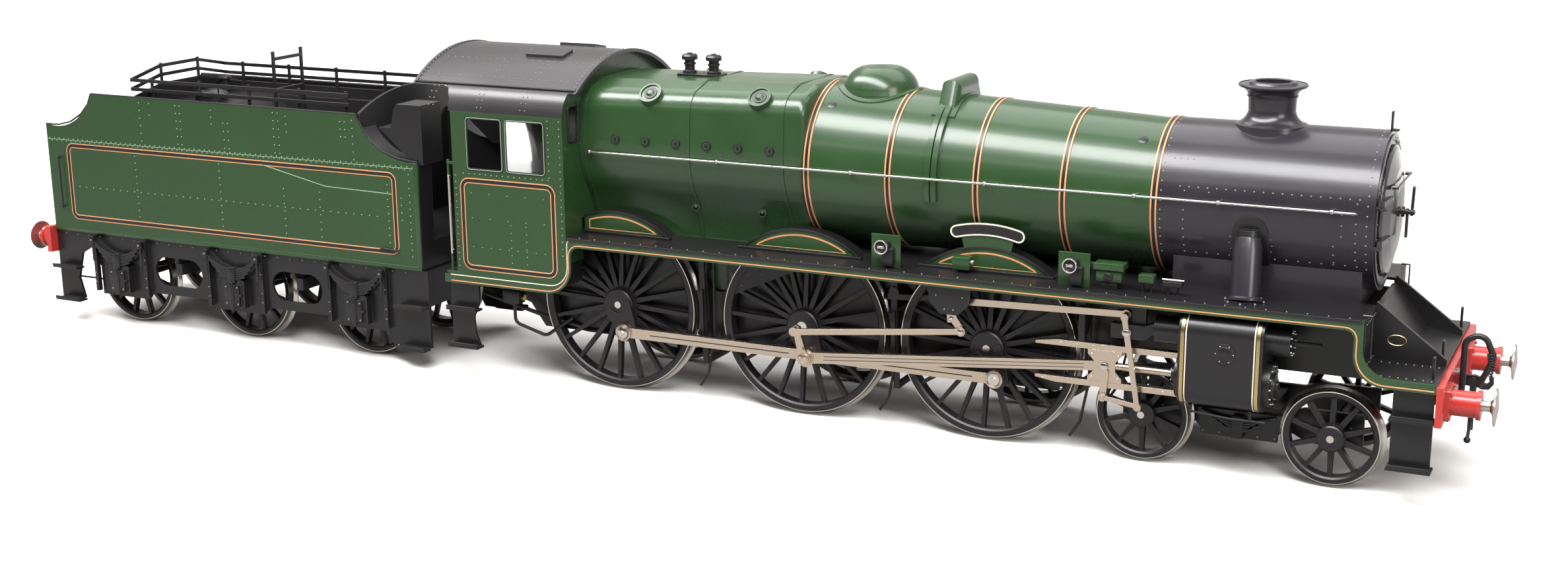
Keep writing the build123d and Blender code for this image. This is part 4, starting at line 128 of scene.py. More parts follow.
class SurfaceGroup:
    """The shared node group that varies a finish: tone, roughness, fine grain and rubbed edges."""

    NAME = "surface_variation"

    @classmethod
    def get(cls) -> bpy.types.NodeTree:
        """The group, built the first time that it is asked for."""
        return bpy.data.node_groups.get(cls.NAME) or cls._build()

    @classmethod
    def _build(cls) -> bpy.types.NodeTree:
        """Builds the group's sockets and nodes."""
        tree = bpy.data.node_groups.new(cls.NAME, "ShaderNodeTree")
        for label, kind, default in (
            ("Colour", "NodeSocketColor", (0.1, 0.1, 0.1, 1)),
            ("Worn Colour", "NodeSocketColor", (0.3, 0.3, 0.3, 1)),
            ("Roughness", "NodeSocketFloat", 0.4),
            ("Tone", "NodeSocketFloat", 0.1),
            ("Grain Scale", "NodeSocketFloat", 2000.0),
            ("Patch Scale", "NodeSocketFloat", 40.0),
            ("Wear", "NodeSocketFloat", 0.3),
        ):
            socket = tree.interface.new_socket(name=label, in_out="INPUT", socket_type=kind)
            socket.default_value = default
        for label, kind in (
            ("Colour", "NodeSocketColor"),
            ("Roughness", "NodeSocketFloat"),
            ("Height", "NodeSocketFloat"),
            ("Edge", "NodeSocketFloat"),
        ):
            tree.interface.new_socket(name=label, in_out="OUTPUT", socket_type=kind)
        nodes, links = tree.nodes, tree.links
        given, result = nodes.new("NodeGroupInput"), nodes.new("NodeGroupOutput")
        place = nodes.new("ShaderNodeTexCoord")
        patches, grain = nodes.new("ShaderNodeTexNoise"), nodes.new("ShaderNodeTexNoise")
        patches.inputs["Detail"].default_value = 3
        grain.inputs["Detail"].default_value = 2
        for noise, key in ((patches, "Patch Scale"), (grain, "Grain Scale")):
            links.new(place.outputs["Object"], noise.inputs["Vector"])
            links.new(given.outputs[key], noise.inputs["Scale"])

        def maths(kind: str, first: object, second: object) -> bpy.types.NodeSocket:
            """A Math node on two sockets or numbers."""
            node = nodes.new("ShaderNodeMath")
            node.operation = kind
            for index, value in enumerate((first, second)):
                if isinstance(value, (int, float)):
                    node.inputs[index].default_value = value
                else:
                    links.new(value, node.inputs[index])
            return node.outputs[0]

        centred = maths("SUBTRACT", patches.outputs["Fac"], 0.5)
        swing = maths("MULTIPLY", centred, given.outputs["Tone"])
        value = maths("ADD", maths("MULTIPLY", swing, 2.0), 1.0)
        tone = nodes.new("ShaderNodeHueSaturation")
        links.new(given.outputs["Colour"], tone.inputs["Color"])
        links.new(value, tone.inputs["Value"])
        normal = nodes.new("ShaderNodeNewGeometry")
        rounded = nodes.new("ShaderNodeBevel")
        rounded.samples = 4
        rounded.inputs["Radius"].default_value = 0.00035
        apart = nodes.new("ShaderNodeVectorMath")
        apart.operation = "DOT_PRODUCT"
        links.new(normal.outputs["Normal"], apart.inputs[0])
        links.new(rounded.outputs["Normal"], apart.inputs[1])
        bend = maths("SUBTRACT", 1.0, apart.outputs["Value"])
        edge = maths("MULTIPLY", maths("MULTIPLY", bend, 6.0), patches.outputs["Fac"])
        rubbed = nodes.new("ShaderNodeClamp")
        links.new(maths("MULTIPLY", edge, given.outputs["Wear"]), rubbed.inputs["Value"])
        mix = nodes.new("ShaderNodeMix")
        mix.data_type = "RGBA"
        links.new(rubbed.outputs[0], mix.inputs["Factor"])
        links.new(tone.outputs[0], mix.inputs["A"])
        links.new(given.outputs["Worn Colour"], mix.inputs["B"])
        links.new(mix.outputs["Result"], result.inputs["Colour"])
        rough = maths("ADD", given.outputs["Roughness"], maths("MULTIPLY", centred, 0.16))
        rough = maths("ADD", rough, maths("MULTIPLY", maths("SUBTRACT", grain.outputs["Fac"], 0.5), 0.1))
        links.new(rough, result.inputs["Roughness"])
        links.new(grain.outputs["Fac"], result.inputs["Height"])
        links.new(rubbed.outputs[0], result.inputs["Edge"])
        return tree


@dataclass(frozen=True)
class Finish:
    """One surface finish.

    Attributes:
        name: the material's name.
        colour: its base colour.
        worn: the colour that shows where edges are rubbed.
        roughness: its middle roughness.
        metallic: 1 for bare metal.
        coat: the weight of a clear varnish over it.
        tone: how far its brightness wanders.
        grain: grains in a metre.
        bump: the height of the grain in metres.
        wear: how much its edges are rubbed.
        soften: the radius that catches light on sharp edges.
        clear: 1 for glass.
    """

    name: str
    colour: Colour
    worn: Colour = (0.3, 0.3, 0.3)
    roughness: float = 0.35
    metallic: float = 0.0
    coat: float = 0.0
    tone: float = 0.12
    grain: float = 3000.0
    bump: float = 0.00001
    wear: float = 0.3
    soften: float = 0.00012
    clear: float = 0.0

    def material(self) -> bpy.types.Material:
        """The finish's material, built once."""
        return bpy.data.materials.get(self.name) or self._build()

    def _build(self) -> bpy.types.Material:
        """Builds the node tree."""
        graph = Graph(self.name)
        surface = graph.node("ShaderNodeGroup", node_tree=SurfaceGroup.get())
        for key, value in (
            ("Colour", (*self.colour, 1)),
            ("Worn Colour", (*self.worn, 1)),
            ("Roughness", self.roughness),
            ("Tone", self.tone),
            ("Grain Scale", self.grain),
            ("Wear", self.wear),
        ):
            surface.inputs[key].default_value = value
        shader = graph.shader
        graph.link(surface.outputs["Colour"], shader.inputs["Base Color"])
        graph.link(surface.outputs["Roughness"], shader.inputs["Roughness"])
        shader.inputs["Metallic"].default_value = self.metallic
        shader.inputs["Coat Weight"].default_value = self.coat
        shader.inputs["Coat Roughness"].default_value = 0.12
        shader.inputs["Transmission Weight"].default_value = self.clear
        rounded = graph.node("ShaderNodeBevel", samples=4)
        rounded.inputs["Radius"].default_value = self.soften
        bump = graph.node("ShaderNodeBump")
        bump.inputs["Distance"].default_value = self.bump
        bump.inputs["Strength"].default_value = 1.0
        graph.link(surface.outputs["Height"], bump.inputs["Height"])
        graph.link(rounded.outputs["Normal"], bump.inputs["Normal"])
        graph.link(bump.outputs["Normal"], shader.inputs["Normal"])
        self.divide(graph, surface)
        return graph.material

    def divide(self, graph: Graph, surface: bpy.types.Node) -> None:
        """Lets a divided finish add its second colour; a plain one has none.

        Args:
            graph: the material's node tree.
            surface: the shared group inside it.
        """


@dataclass(frozen=True)
class Divided(Finish):
    """A finish with a second one where a rule holds.

    Attributes:
        second: the finish used there.
        rule: builds the mask from the node tree, 1 where the second finish shows.
    """

    second: Optional[Finish] = None
    rule: Optional[Callable[[Graph], bpy.types.NodeSocket]] = None

    def divide(self, graph: Graph, surface: bpy.types.Node) -> None:
        """Mixes the two finishes' colours, roughness and metal by the rule's mask."""
        mask = self.rule(graph)
        for key, first, other in (("Colour", self.colour, self.second.colour),
                                  ("Worn Colour", self.worn, self.second.worn)):
            mix = graph.node("ShaderNodeMix", data_type="RGBA")
            mix.inputs["A"].default_value, mix.inputs["B"].default_value = (*first, 1), (*other, 1)
            graph.link(mask, mix.inputs["Factor"])
            graph.link(mix.outputs["Result"], surface.inputs[key])
        for socket, first, other in (
            (surface.inputs["Roughness"], self.roughness, self.second.roughness),
            (graph.shader.inputs["Metallic"], self.metallic, self.second.metallic),
        ):
            blend = graph.node("ShaderNodeMix", data_type="FLOAT")
            blend.inputs["A"].default_value, blend.inputs["B"].default_value = first, other
            graph.link(mask, blend.inputs["Factor"])
            graph.link(blend.outputs["Result"], socket)


def outside(half_width: float, ahead: float, behind: float) -> Callable[[Graph], bpy.types.NodeSocket]:
    """A rule that holds on a body's flanks and past two places along it.

    Args:
        half_width: how far out the flanks begin, in metres.
        ahead: the rule holds in front of this X.
        behind: the rule holds behind this X.
    """

    def rule(graph: Graph) -> bpy.types.NodeSocket:
        """The mask itself."""
        flank = graph.above(graph.maths("ABSOLUTE", graph.place(1), 0), half_width)
        front = graph.above(graph.place(0), ahead)
        rear = graph.maths("LESS_THAN", graph.place(0), behind)
        return graph.maths("MAXIMUM", flank, graph.maths("MAXIMUM", front, rear))

    return rule


def tyre_and_axle(x: float, z: float, tread: float, axle: float) -> Callable[[Graph], bpy.types.NodeSocket]:
    """A rule that holds on a wheel's tread and on the end of its axle.

    Args:
        x: where the axle lies along the engine.
        z: its height.
        tread: the radius where the bright tyre begins.
        axle: the radius of the bright axle end.
    """

    def rule(graph: Graph) -> bpy.types.NodeSocket:
        """The mask itself."""
        across = graph.maths("SUBTRACT", graph.place(0), x)
        rise = graph.maths("SUBTRACT", graph.place(2), z)
        reach = graph.maths("ADD", graph.maths("MULTIPLY", across, across),
                            graph.maths("MULTIPLY", rise, rise))
        reach = graph.maths("SQRT", reach, 0)
        out = graph.above(reach, tread)
        centre = graph.maths("LESS_THAN", reach, axle)
        return graph.maths("MAXIMUM", out, centre)

    return rule


GREEN = Finish("green_gloss", (0.020, 0.054, 0.0165), worn=(0.06, 0.12, 0.06), roughness=0.30, coat=0.30,
               wear=0.25)
# Pale green stands in for the highlights that light puts on small rivets, beads and edges on the green
# paint: a painted highlight.
GREEN_PAINTED_HIGHLIGHT = Finish("green_painted_highlight", (0.20, 0.32, 0.17), worn=(0.4, 0.5, 0.4), roughness=0.3, coat=0.4)
BLACK = Finish("black_satin", (0.011, 0.010, 0.011), worn=(0.09, 0.085, 0.085), roughness=0.33)
SMOKEBOX = Finish("smokebox_black", (0.020, 0.017, 0.022), worn=(0.09, 0.085, 0.09), roughness=0.30,
                  coat=0.25)
DOOR = Finish("door_black", (0.022, 0.019, 0.023), worn=(0.09, 0.085, 0.09), roughness=0.20, coat=0.6)
ROOF = Finish("roof_black", (0.030, 0.027, 0.028), worn=(0.1, 0.095, 0.095), roughness=0.36, coat=0.1)
# Grey stands in for the highlights on small rivets, studs and bolts on the black paint: a painted highlight.
GREY_RIVET_HIGHLIGHT = Finish("smokebox_rivets_painted_highlight", (0.20, 0.19, 0.20), worn=(0.3, 0.3, 0.3), roughness=0.35)
RED = Finish("buffer_beam_red", (0.46, 0.030, 0.024), worn=(0.5, 0.2, 0.16), roughness=0.28, coat=0.3)
WHEEL = Finish("wheel_black", (0.012, 0.010, 0.012), worn=(0.12, 0.11, 0.11), roughness=0.38)
NICKEL = Finish("drawn_nickel", (0.66, 0.55, 0.44), worn=(0.85, 0.75, 0.63), roughness=0.30, metallic=1.0,
                wear=0.2)
BRIGHT = Finish("bright_steel", (0.72, 0.68, 0.62), worn=(0.85, 0.8, 0.75), roughness=0.22, metallic=1.0)
BUFFER = Finish("buffer_steel", (0.62, 0.58, 0.54), worn=(0.8, 0.75, 0.7), roughness=0.34, metallic=1.0)
HANDRAIL = Finish("polished_rail", (0.52, 0.51, 0.48), worn=(0.8, 0.8, 0.8), roughness=0.22, metallic=1.0)
COPPER = Finish("bare_copper", (0.60, 0.26, 0.14), worn=(0.8, 0.5, 0.3), roughness=0.4, metallic=1.0)
BRASS = Finish("turned_brass", (0.62, 0.45, 0.20), worn=(0.8, 0.6, 0.3), roughness=0.3, metallic=1.0)
ORANGE = Finish("orange_line", (0.62, 0.27, 0.11), worn=(0.7, 0.4, 0.25), roughness=0.35, tone=0.2)
CREAM = Finish("pale_line", (0.72, 0.66, 0.52), worn=(0.8, 0.75, 0.65), roughness=0.35, tone=0.15)
GLASS = Finish("window_glass", (0.75, 0.78, 0.76), worn=(0.8, 0.8, 0.8), roughness=0.06, clear=1.0,
               bump=0.000002)
HOSE = Finish("rubber_hose", (0.02, 0.018, 0.018), worn=(0.08, 0.08, 0.08), roughness=0.6)

SLOT_FINISHES: Dict[Slot, Finish] = {
    Slot.GREEN: GREEN,
    Slot.BLACK: BLACK,
    Slot.SMOKEBOX: SMOKEBOX,
    Slot.RED: RED,
    Slot.WHEEL: WHEEL,
    Slot.MOTION: NICKEL,
    Slot.HANDRAIL: HANDRAIL,
    Slot.COPPER: COPPER,
    Slot.BRASS: BRASS,
}


def divided(name: str, base: Finish, second: Finish,
            rule: Callable[[Graph], bpy.types.NodeSocket]) -> Divided:
    """A divided finish that starts from a plain one.

    Args:
        name: the new finish's name.
        base: the finish outside the rule.
        second: the finish where the rule holds.
        rule: the mask's builder.
    """
    return Divided(name, base.colour, base.worn, base.roughness, base.metallic, base.coat, base.tone,
                   base.grain, base.bump, base.wear, base.soften, base.clear, second=second, rule=rule)


def wheel_finish(name: str, x: float, z: float, radius: float, axle: float) -> Divided:
    """The black wheel with its bright tread and axle end.

    Args:
        name: the finish's name.
        x: the axle's place in full-size inches.
        z: its height in full-size inches.
        radius: the tread's radius in full-size inches.
        axle: the bright end's radius in millimetres.
    """
    return divided(name, WHEEL, BRIGHT, tyre_and_axle(along(x), up(z), radius * INCH - 0.00045, axle * MM))


NODE_FINISHES: Dict[str, Finish] = {
    "tender_tank": divided("tank_green_black_inside", BLACK, GREEN, outside(0.0333, 1.0, along(-441.4))),
    "splashers": divided("splasher_green_black_top", BLACK, GREEN, outside(0.0272, 1.0, -1.0)),
    "cab": divided("cab_green_black_inside", BLACK, GREEN, outside(0.0394, along(-112.75), -1.0)),
    "driving_wheels": wheel_finish("driving_tyres", 0, 40.5, 40.5, 1.9),
    "leading_wheels": wheel_finish("leading_tyres", 88, 40.5, 40.5, 1.3),
    "trailing_wheels": wheel_finish("trailing_tyres", -96, 40.5, 40.5, 1.3),
    "bogie_wheels_front": wheel_finish("bogie_front_tyres", 235, 19.75, 19.75, 1.2),
    "bogie_wheels_rear": wheel_finish("bogie_rear_tyres", 157, 19.75, 19.75, 1.2),
    "tender_wheels_front": wheel_finish("tender_front_tyres", -241, 25.5, 25.5, 1.2),
    "tender_wheels_middle": wheel_finish("tender_middle_tyres", -319, 25.5, 25.5, 1.2),
    "tender_wheels_rear": wheel_finish("tender_rear_tyres", -397, 25.5, 25.5, 1.2),
    "smokebox_door": DOOR,
    "cab_roof": ROOF,
    "buffer_head_front_right": BUFFER,
    "buffer_head_front_left": BUFFER,
    "buffer_head_rear_right": BUFFER,
    "buffer_head_rear_left": BUFFER,
}


def dress_nodes(nodes: Dict[str, bpy.types.Object]) -> None:
    """Gives each CAD node its own finish or the one of its slot.

    Args:
        nodes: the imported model's nodes by name.
    """
    finishes = {slot.value: finish for slot, finish in SLOT_FINISHES.items()}
    for name, node in nodes.items():
        for holder in node.material_slots:
            key = holder.material.name.split(".")[0]
            holder.material = NODE_FINISHES.get(name, finishes[key]).material()
        LOG.info("%s dressed", name)


def rounded(points: Sequence[Vector], radius: float, closed: bool = True, steps: int = 6) -> List[Vector]:
    """A path whose corners are rounded.

    Args:
        points: the sharp corners.
        radius: the arcs' radius in metres.
        closed: whether the last corner joins the first.
        steps: pieces in each arc.

    Returns:
        The points of the rounded path.
    """
    made: List[Vector] = []
    count = len(points)
    for index, point in enumerate(points):
        if not closed and index in (0, count - 1):
            made.append(point.copy())
            continue
        back = (points[index - 1] - point).normalized()
        on = (points[(index + 1) % count] - point).normalized()
        half = back.angle(on) / 2
        middle = point + (back + on).normalized() * (radius / math.sin(half))
        start = (point + back * (radius / math.tan(half)) - middle).normalized()
        stop = (point + on * (radius / math.tan(half)) - middle).normalized()
        made += [middle + start.slerp(stop, step / steps) * radius for step in range(steps + 1)]
    return made


def arc(x: float, z: float, radius: float, start: float, stop: float, y: float,
        steps: int = 24) -> List[Vector]:
    """Points of an arc in a plane across the Y axis.

    Args:
        x: the middle's place in full-size inches.
        z: the middle's height in full-size inches.
        radius: in full-size inches.
        start: first angle in degrees above forward.
        stop: last angle.
        y: where the plane lies, in millimetres.
        steps: pieces in the arc.
    """
    turns = [math.radians(start + (stop - start) * step / steps) for step in range(steps + 1)]
    return [at(x + radius * math.cos(turn), y, z + radius * math.sin(turn)) for turn in turns]


def facing(direction: Vector) -> Matrix:
    """The turn that takes +Z to a direction."""
    return Vector(direction).to_track_quat("Z", "Y").to_matrix().to_4x4()


class Shaper:
    """Gathers small shapes of one finish into a single piece that rides on one CAD body."""

    def __init__(self, name: str, finish: Finish, body: str, slot: Optional[Slot] = None) -> None:
        """Starts an empty piece.

        Args:
            name: the piece's name.
            finish: its finish.
            body: the CAD body that it moves with.
            slot: the record's material slot that it matches, if there is one; it is stored but not used.
        """
        self.name, self.finish, self.body, self.slot = name, finish, body, slot
        self.mesh = bmesh.new()

    def _merge(self, data: bpy.types.Mesh) -> None:
        """Adds a finished shape and drops its mesh."""
        self.mesh.from_mesh(data)
        bpy.data.meshes.remove(data)

    def stud(self, place: Vector, normal: Vector, radius: float = 0.00026, height: float = 0.00022,
             segments: int = 6,
             taper: float = 0.6) -> None:
        """A rivet, bolt head or pin that stands on a surface."""
        normal = Vector(normal).normalized()
        matrix = Matrix.Translation(Vector(place) + normal * height * 0.35) @ facing(normal)
        bmesh.ops.create_cone(self.mesh, cap_ends=True, segments=segments, radius1=radius,
                              radius2=radius * taper,
                              depth=height, matrix=matrix)

    def row(self, start: Vector, stop: Vector, count: int, normal: Vector, radius: float = 0.00026) -> None:
        """Studs at equal steps along a straight line."""
        for index in range(count):
            self.stud(start.lerp(stop, index / max(count - 1, 1)), normal, radius)

    def block(self, low: Vector, high: Vector, bevel: float = 0.00015) -> None:
        """A block with softened edges between two corners."""
        low, high = Vector(low), Vector(high)
        size = Vector([abs(value) for value in high - low])
        matrix = Matrix.Translation((low + high) / 2) @ Matrix.Diagonal((*size, 1))
        made = bmesh.ops.create_cube(self.mesh, size=1.0, matrix=matrix)
        edges = {edge for vert in made["verts"] for edge in vert.link_edges}
        bmesh.ops.bevel(self.mesh, geom=list(edges), offset=min(bevel, min(size) * 0.3), segments=2,
                        profile=0.5,
                        affect="EDGES")

    def turned(self, profile: Sequence[Tuple[float, float]], place: Vector, axis: Vector, steps: int = 32,
               closed: bool = False) -> None:
        """A shape turned on a lathe.

        Args:
            profile: pairs of height along the axis and radius, in metres.
            place: the axis's foot.
            axis: its direction.
            steps: faces round the axis.
            closed: whether the profile is a loop clear of the axis.
        """
        shape = bmesh.new()
        verts = [shape.verts.new((radius, 0, height)) for height, radius in profile]
        pairs = list(zip(verts, verts[1:])) + ([(verts[-1], verts[0])] if closed else [])
        edges = [shape.edges.new(pair) for pair in pairs]
        bmesh.ops.spin(shape, geom=verts + edges, cent=(0, 0, 0), axis=(0, 0, 1), angle=math.tau,
                       steps=steps,
                       use_merge=True)
        bmesh.ops.remove_doubles(shape, verts=shape.verts[:], dist=1e-7)
        bmesh.ops.transform(shape, matrix=Matrix.Translation(place) @ facing(axis), verts=shape.verts[:])
        data = bpy.data.meshes.new("turned")
        shape.to_mesh(data)
        shape.free()
        self._merge(data)

    def wire(self, points: Sequence[Vector], radius: float, closed: bool = False, flat: float = 1.0,
             normal: Vector = Vector((0, -1, 0)), rings: int = 1) -> None:
        """A round wire along a path, or a painted line when it is flattened.

        Args:
            points: the path.
            radius: half of its width in metres.
            closed: whether the path is a loop.
            flat: its height as a share of its width.
            normal: the direction in which it is flattened.
            rings: how finely it is rounded.
        """
        curve = bpy.data.curves.new("path", "CURVE")
        curve.dimensions, curve.bevel_depth, curve.bevel_resolution = "3D", radius, rings
        curve.use_fill_caps = not closed
        spline = curve.splines.new("POLY")
        spline.points.add(len(points) - 1)
        for point, place in zip(spline.points, points):
            point.co = (*place, 1)
        spline.use_cyclic_u = closed
        holder = bpy.data.objects.new("path", curve)
        data = bpy.data.meshes.new_from_object(holder)
        bpy.data.objects.remove(holder)
        bpy.data.curves.remove(curve)
        level = Vector(points[0])
        if flat < 1.0:
            for vert in data.vertices:
                rise = (vert.co - level).dot(normal)
                vert.co -= normal * rise * (1 - flat)
        self._merge(data)

    def strap(self, points: Sequence[Vector], width: Vector, thick: float, closed: bool = False) -> None:
        """A flat strap bent along a path.

        Args:
            points: one edge of the strap's inner face.
            width: from that edge to the other.
            thick: its thickness in metres.
            closed: whether the path is a loop.
        """
        shape = bmesh.new()
        verts = [shape.verts.new(point) for point in points]
        pairs = list(zip(verts, verts[1:])) + ([(verts[-1], verts[0])] if closed else [])
        edges = [shape.edges.new(pair) for pair in pairs]
        made = bmesh.ops.extrude_edge_only(shape, edges=edges)
        bmesh.ops.translate(shape, vec=width,
                            verts=[v for v in made["geom"] if isinstance(v, bmesh.types.BMVert)])
        shape.normal_update()
        hub = sum((Vector(point) for point in points), Vector()) / len(points)
        outward = [face for face in shape.faces if (face.calc_center_median() - hub).dot(face.normal) > 0]
        bmesh.ops.reverse_faces(shape, faces=outward)
        bmesh.ops.solidify(shape, geom=shape.faces[:], thickness=thick)
        data = bpy.data.meshes.new("strap")
        shape.to_mesh(data)
        shape.free()
        self._merge(data)

    def done(self) -> bpy.types.Object:
        """Turns the gathered shapes into the piece."""
        bmesh.ops.recalc_face_normals(self.mesh, faces=self.mesh.faces[:])
        for edge in self.mesh.edges:
            edge.smooth = len(edge.link_faces) == 2 and edge.calc_face_angle(0) < 0.6
        for face in self.mesh.faces:
            face.smooth = True
        data = bpy.data.meshes.new(self.name)
        self.mesh.to_mesh(data)
        self.mesh.free()
        data.materials.append(self.finish.material())
        piece = bpy.data.objects.new(self.name, data)
        bpy.context.scene.collection.objects.link(piece)
        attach(piece, self.body)
        LOG.info("%s made", self.name)
        return piece


SIDES = (-1, 1)


def barrel_at(place: float) -> Tuple[float, float]:
    """Radius and centre height in full-size inches of the tapered barrel, or of the smokebox ahead of it."""
    share = (place - 2.5) / 154.5
    return (32.6, 108.5) if place > 157 else (36.4 - 4.4 * share, 112.0 - 3.5 * share)


def on_barrel(place: float, turn: float, grow: float = 0.0) -> Tuple[Vector, Vector]:
    """A point on the barrel and the direction out of it.

    Args:
        place: full-size inches ahead of the driving axle.
        turn: degrees from the top, negative towards the right side.
        grow: millimetres off the surface.
    """
    radius, height = barrel_at(place)
    out = Vector((0, math.sin(math.radians(turn)), math.cos(math.radians(turn))))
    return at(place, 0, height) + out * (radius * INCH + grow * MM), out


@dataclass
class LinedPanel:
    """A painted double line with black between, in one flat plane.

    Attributes:
        orange: gathers the outer colour.
        black: gathers the middle.
        half: half of the whole width in metres.
        gap: half of the middle's width in metres.
    """

    orange: Shaper
    black: Shaper
    half: float = 0.00122
    gap: float = 0.00075

    def draw(self, points: Sequence[Vector], closed: bool = True) -> None:
        """Draws the three bands along a path."""
        self.orange.wire(points, self.half, closed, flat=0.05)
        self.black.wire(points, self.gap, closed, flat=0.17)


@dataclass
class BoilerDress:
    """Lining rings and plugs on the barrel, and rivets and fittings on the smokebox, its door and the
    chimney.
    """

    rings: Tuple[float, ...] = (3.8, 42.0, 82.0, 120.0, 158.6)

    def lining(self) -> None:
        """Two orange rings with a black one between at each band."""
        orange = Shaper("barrel_lining", ORANGE, "engine")
        black = Shaper("barrel_lining_middle", BLACK, "engine", Slot.BLACK)
        for place in self.rings:
            for shift, half, rise, shaper in ((-1.05, 0.34, 0.30, orange), (1.05, 0.34, 0.30, orange),
                                              (0.0, 0.74, 0.27, black)):
                radius, height = barrel_at(place)
                inner, outer = radius * INCH - 0.0002, radius * INCH + rise * MM
                width = half * INCH
                shaper.turned(((-width, inner), (-width, outer), (width, outer), (width, inner)),
                              at(place + shift, 0, height), Vector((1, 0, 0)), steps=96, closed=True)
        orange.done()
        black.done()

    def plugs(self) -> None:
        """Dark oval plugs high on the barrel's flanks."""
        shaper = Shaper("barrel_plugs", BLACK, "engine", Slot.BLACK)
        for place in (10.0, 150.0):
            for side in SIDES:
                centre, out = on_barrel(place, side * 38, -0.15)
                shaper.turned(((0, 0), (0.0004, 0.0), (0.0004, 0.0011), (0.0002, 0.0016), (0, 0.0017)),
                              centre, out, 20)
        shaper.done()

    def smokebox(self) -> None:
        """Rivets round the smokebox, and the ring, studs and irons on its front."""
        # Grey rivets: painted highlights on the black smokebox.
        rivets = Shaper("smokebox_rivets_painted_highlight", GREY_RIVET_HIGHLIGHT, "engine", Slot.SMOKEBOX)
        for place, step in ((161.4, 7), (243.6, 7)):
            for turn in range(-126, 127, step):
                rivets.stud(*on_barrel(place, turn), radius=0.00034)
        for side in SIDES:
            for index in range(20):
                rivets.stud(*on_barrel(169 + 3.75 * index, side * 73), radius=0.00033)
            for place, low, high in ((171, 76, 124), (239.5, 76, 124), (181, 76, 88), (231, 108, 124)):
                for turn in range(low, high, 7):
                    rivets.stud(*on_barrel(place, side * turn), radius=0.00032)
            for index in range(16):
                rivets.stud(*on_barrel(171 + 4.6 * index, side * 124), radius=0.00032)
            for index in range(4):
                rivets.stud(*on_barrel(165 + 2.6 * index, side * 52), radius=0.00032)
            for turn in (84, 92, 100):
                rivets.stud(*on_barrel(234, side * turn), radius=0.00032)
            for index in range(14):
                angle = math.radians(index * 20 - 40)
                rivets.stud(*on_barrel(198.4 + 8.6 * math.cos(angle), side * (112 - 15 * math.sin(angle))),
                            radius=0.00022)
        rivets.done()
        ring = Shaper("smokebox_front_ring", SMOKEBOX, "engine", Slot.SMOKEBOX)
        ring.turned(((0, 31.0 * INCH), (0.0004, 31.0 * INCH), (0.0006, 30.2 * INCH), (0.0004, 28.4 * INCH),
                     (0, 28.2 * INCH)), at(246.4, 0, 108.5), Vector((1, 0, 0)), 96, closed=True)
        for x, y, z, up_z in ((245.6, 0, 141.0, 8.0), (247.4, -24.4, 114.5, 6.5)):
            ring.block(at(x, y - 1.1, z), at(x + 0.9, y + 1.1, z + up_z))
            ring.block(at(x, y - 1.1, z), at(x + 3.4, y + 1.1, z + 0.9))
        ring.done()
        # Grey studs: painted highlights on the black front ring.
        studs = Shaper("smokebox_ring_studs", GREY_RIVET_HIGHLIGHT, "engine", Slot.SMOKEBOX)
        for turn in range(0, 360, 12):
            angle = math.radians(turn)
            studs.stud(at(247.1, 29.7 * 0.79375 * math.cos(angle), 108.5 + 29.7 * math.sin(angle)),
                       Vector((1, 0, 0)),
                       radius=0.00028)
        studs.done()

    def steam_pipes(self) -> None:
        """The sleeves round the outside steam pipes, with the flanges at their feet."""
        sleeve = Shaper("steam_pipe_sleeves", SMOKEBOX, "engine", Slot.SMOKEBOX)
        # Grey bolts: painted highlights on the black flanges.
        bolts = Shaper("steam_pipe_bolts", GREY_RIVET_HIGHLIGHT, "engine", Slot.SMOKEBOX)
        for side in SIDES:
            foot, head = at(199.2, side * 31.6, 75.2), at(198.0, side * 25.6, 103.0)
            axis = (head - foot).normalized()
            sleeve.turned(((0, 0), (0, 0.0056), (0.0008, 0.0056), (0.0012, 0.0047), (0.0165, 0.0047),
                           (0.0200, 0.0040),
                           (0.0215, 0)), foot, axis, 40)
            for index in range(8):
                turn = math.tau * index / 8
                place = foot + Vector((0.0061 * math.cos(turn), 0.0061 * math.sin(turn), 0.0001))
                bolts.stud(place, Vector((0, 0, 1)), 0.0004, 0.0005)
        sleeve.done()
        bolts.done()

    def door(self) -> None:
        """Handrail, knobs and hinge bolts on the smokebox door."""
        rail = Shaper("door_handrail", SMOKEBOX, "door", Slot.SMOKEBOX)
        points = [at(252.3, y, 121.5 - 0.002 * y * y) for y in range(-14, 15, 2)]
        rail.wire(points, 0.00038, rings=2)
        for y in (-13, 13):
            rail.stud(at(250.4, y, 121.2), Vector((1, 0, 0)), 0.0007, 0.0019, 10, 0.8)
        rail.done()
        # Grey bolts: painted highlights on the black door.
        bolts = Shaper("door_strap_bolts", GREY_RIVET_HIGHLIGHT, "door", Slot.SMOKEBOX)
        for height in (100.5, 116.5):
            for y, out in ((-15.0, 3.3), (-18.6, 2.2)):
                bolts.stud(at(246.5, y, height + 0.3) + Vector((out * MM, 0, 0)), Vector((1, 0, 0)),
                           0.00045, 0.0004, 8)
        bolts.done()

    def chimney(self) -> None:
        """Two black beads on the chimney, one under its rim."""
        bead = Shaper("chimney_bead", SMOKEBOX, "engine", Slot.SMOKEBOX)
        bead.turned(((0, 13.7 * INCH), (0.0003, 14.1 * INCH), (0.0007, 14.1 * INCH), (0.001, 13.7 * INCH)),
                    at(198, 0, 156.2), Vector((0, 0, 1)), 64, closed=True)
        bead.turned(((0, 10.0 * INCH), (0.0002, 10.35 * INCH), (0.0005, 10.35 * INCH),
                     (0.0007, 10.0 * INCH)),
                    at(198, 0, 152.0), Vector((0, 0, 1)), 64, closed=True)
        bead.done()

    def build(self) -> None:
        """Makes every piece on the boiler."""
        self.lining()
        self.plugs()
        self.smokebox()
        self.steam_pipes()
        self.door()
        self.chimney()


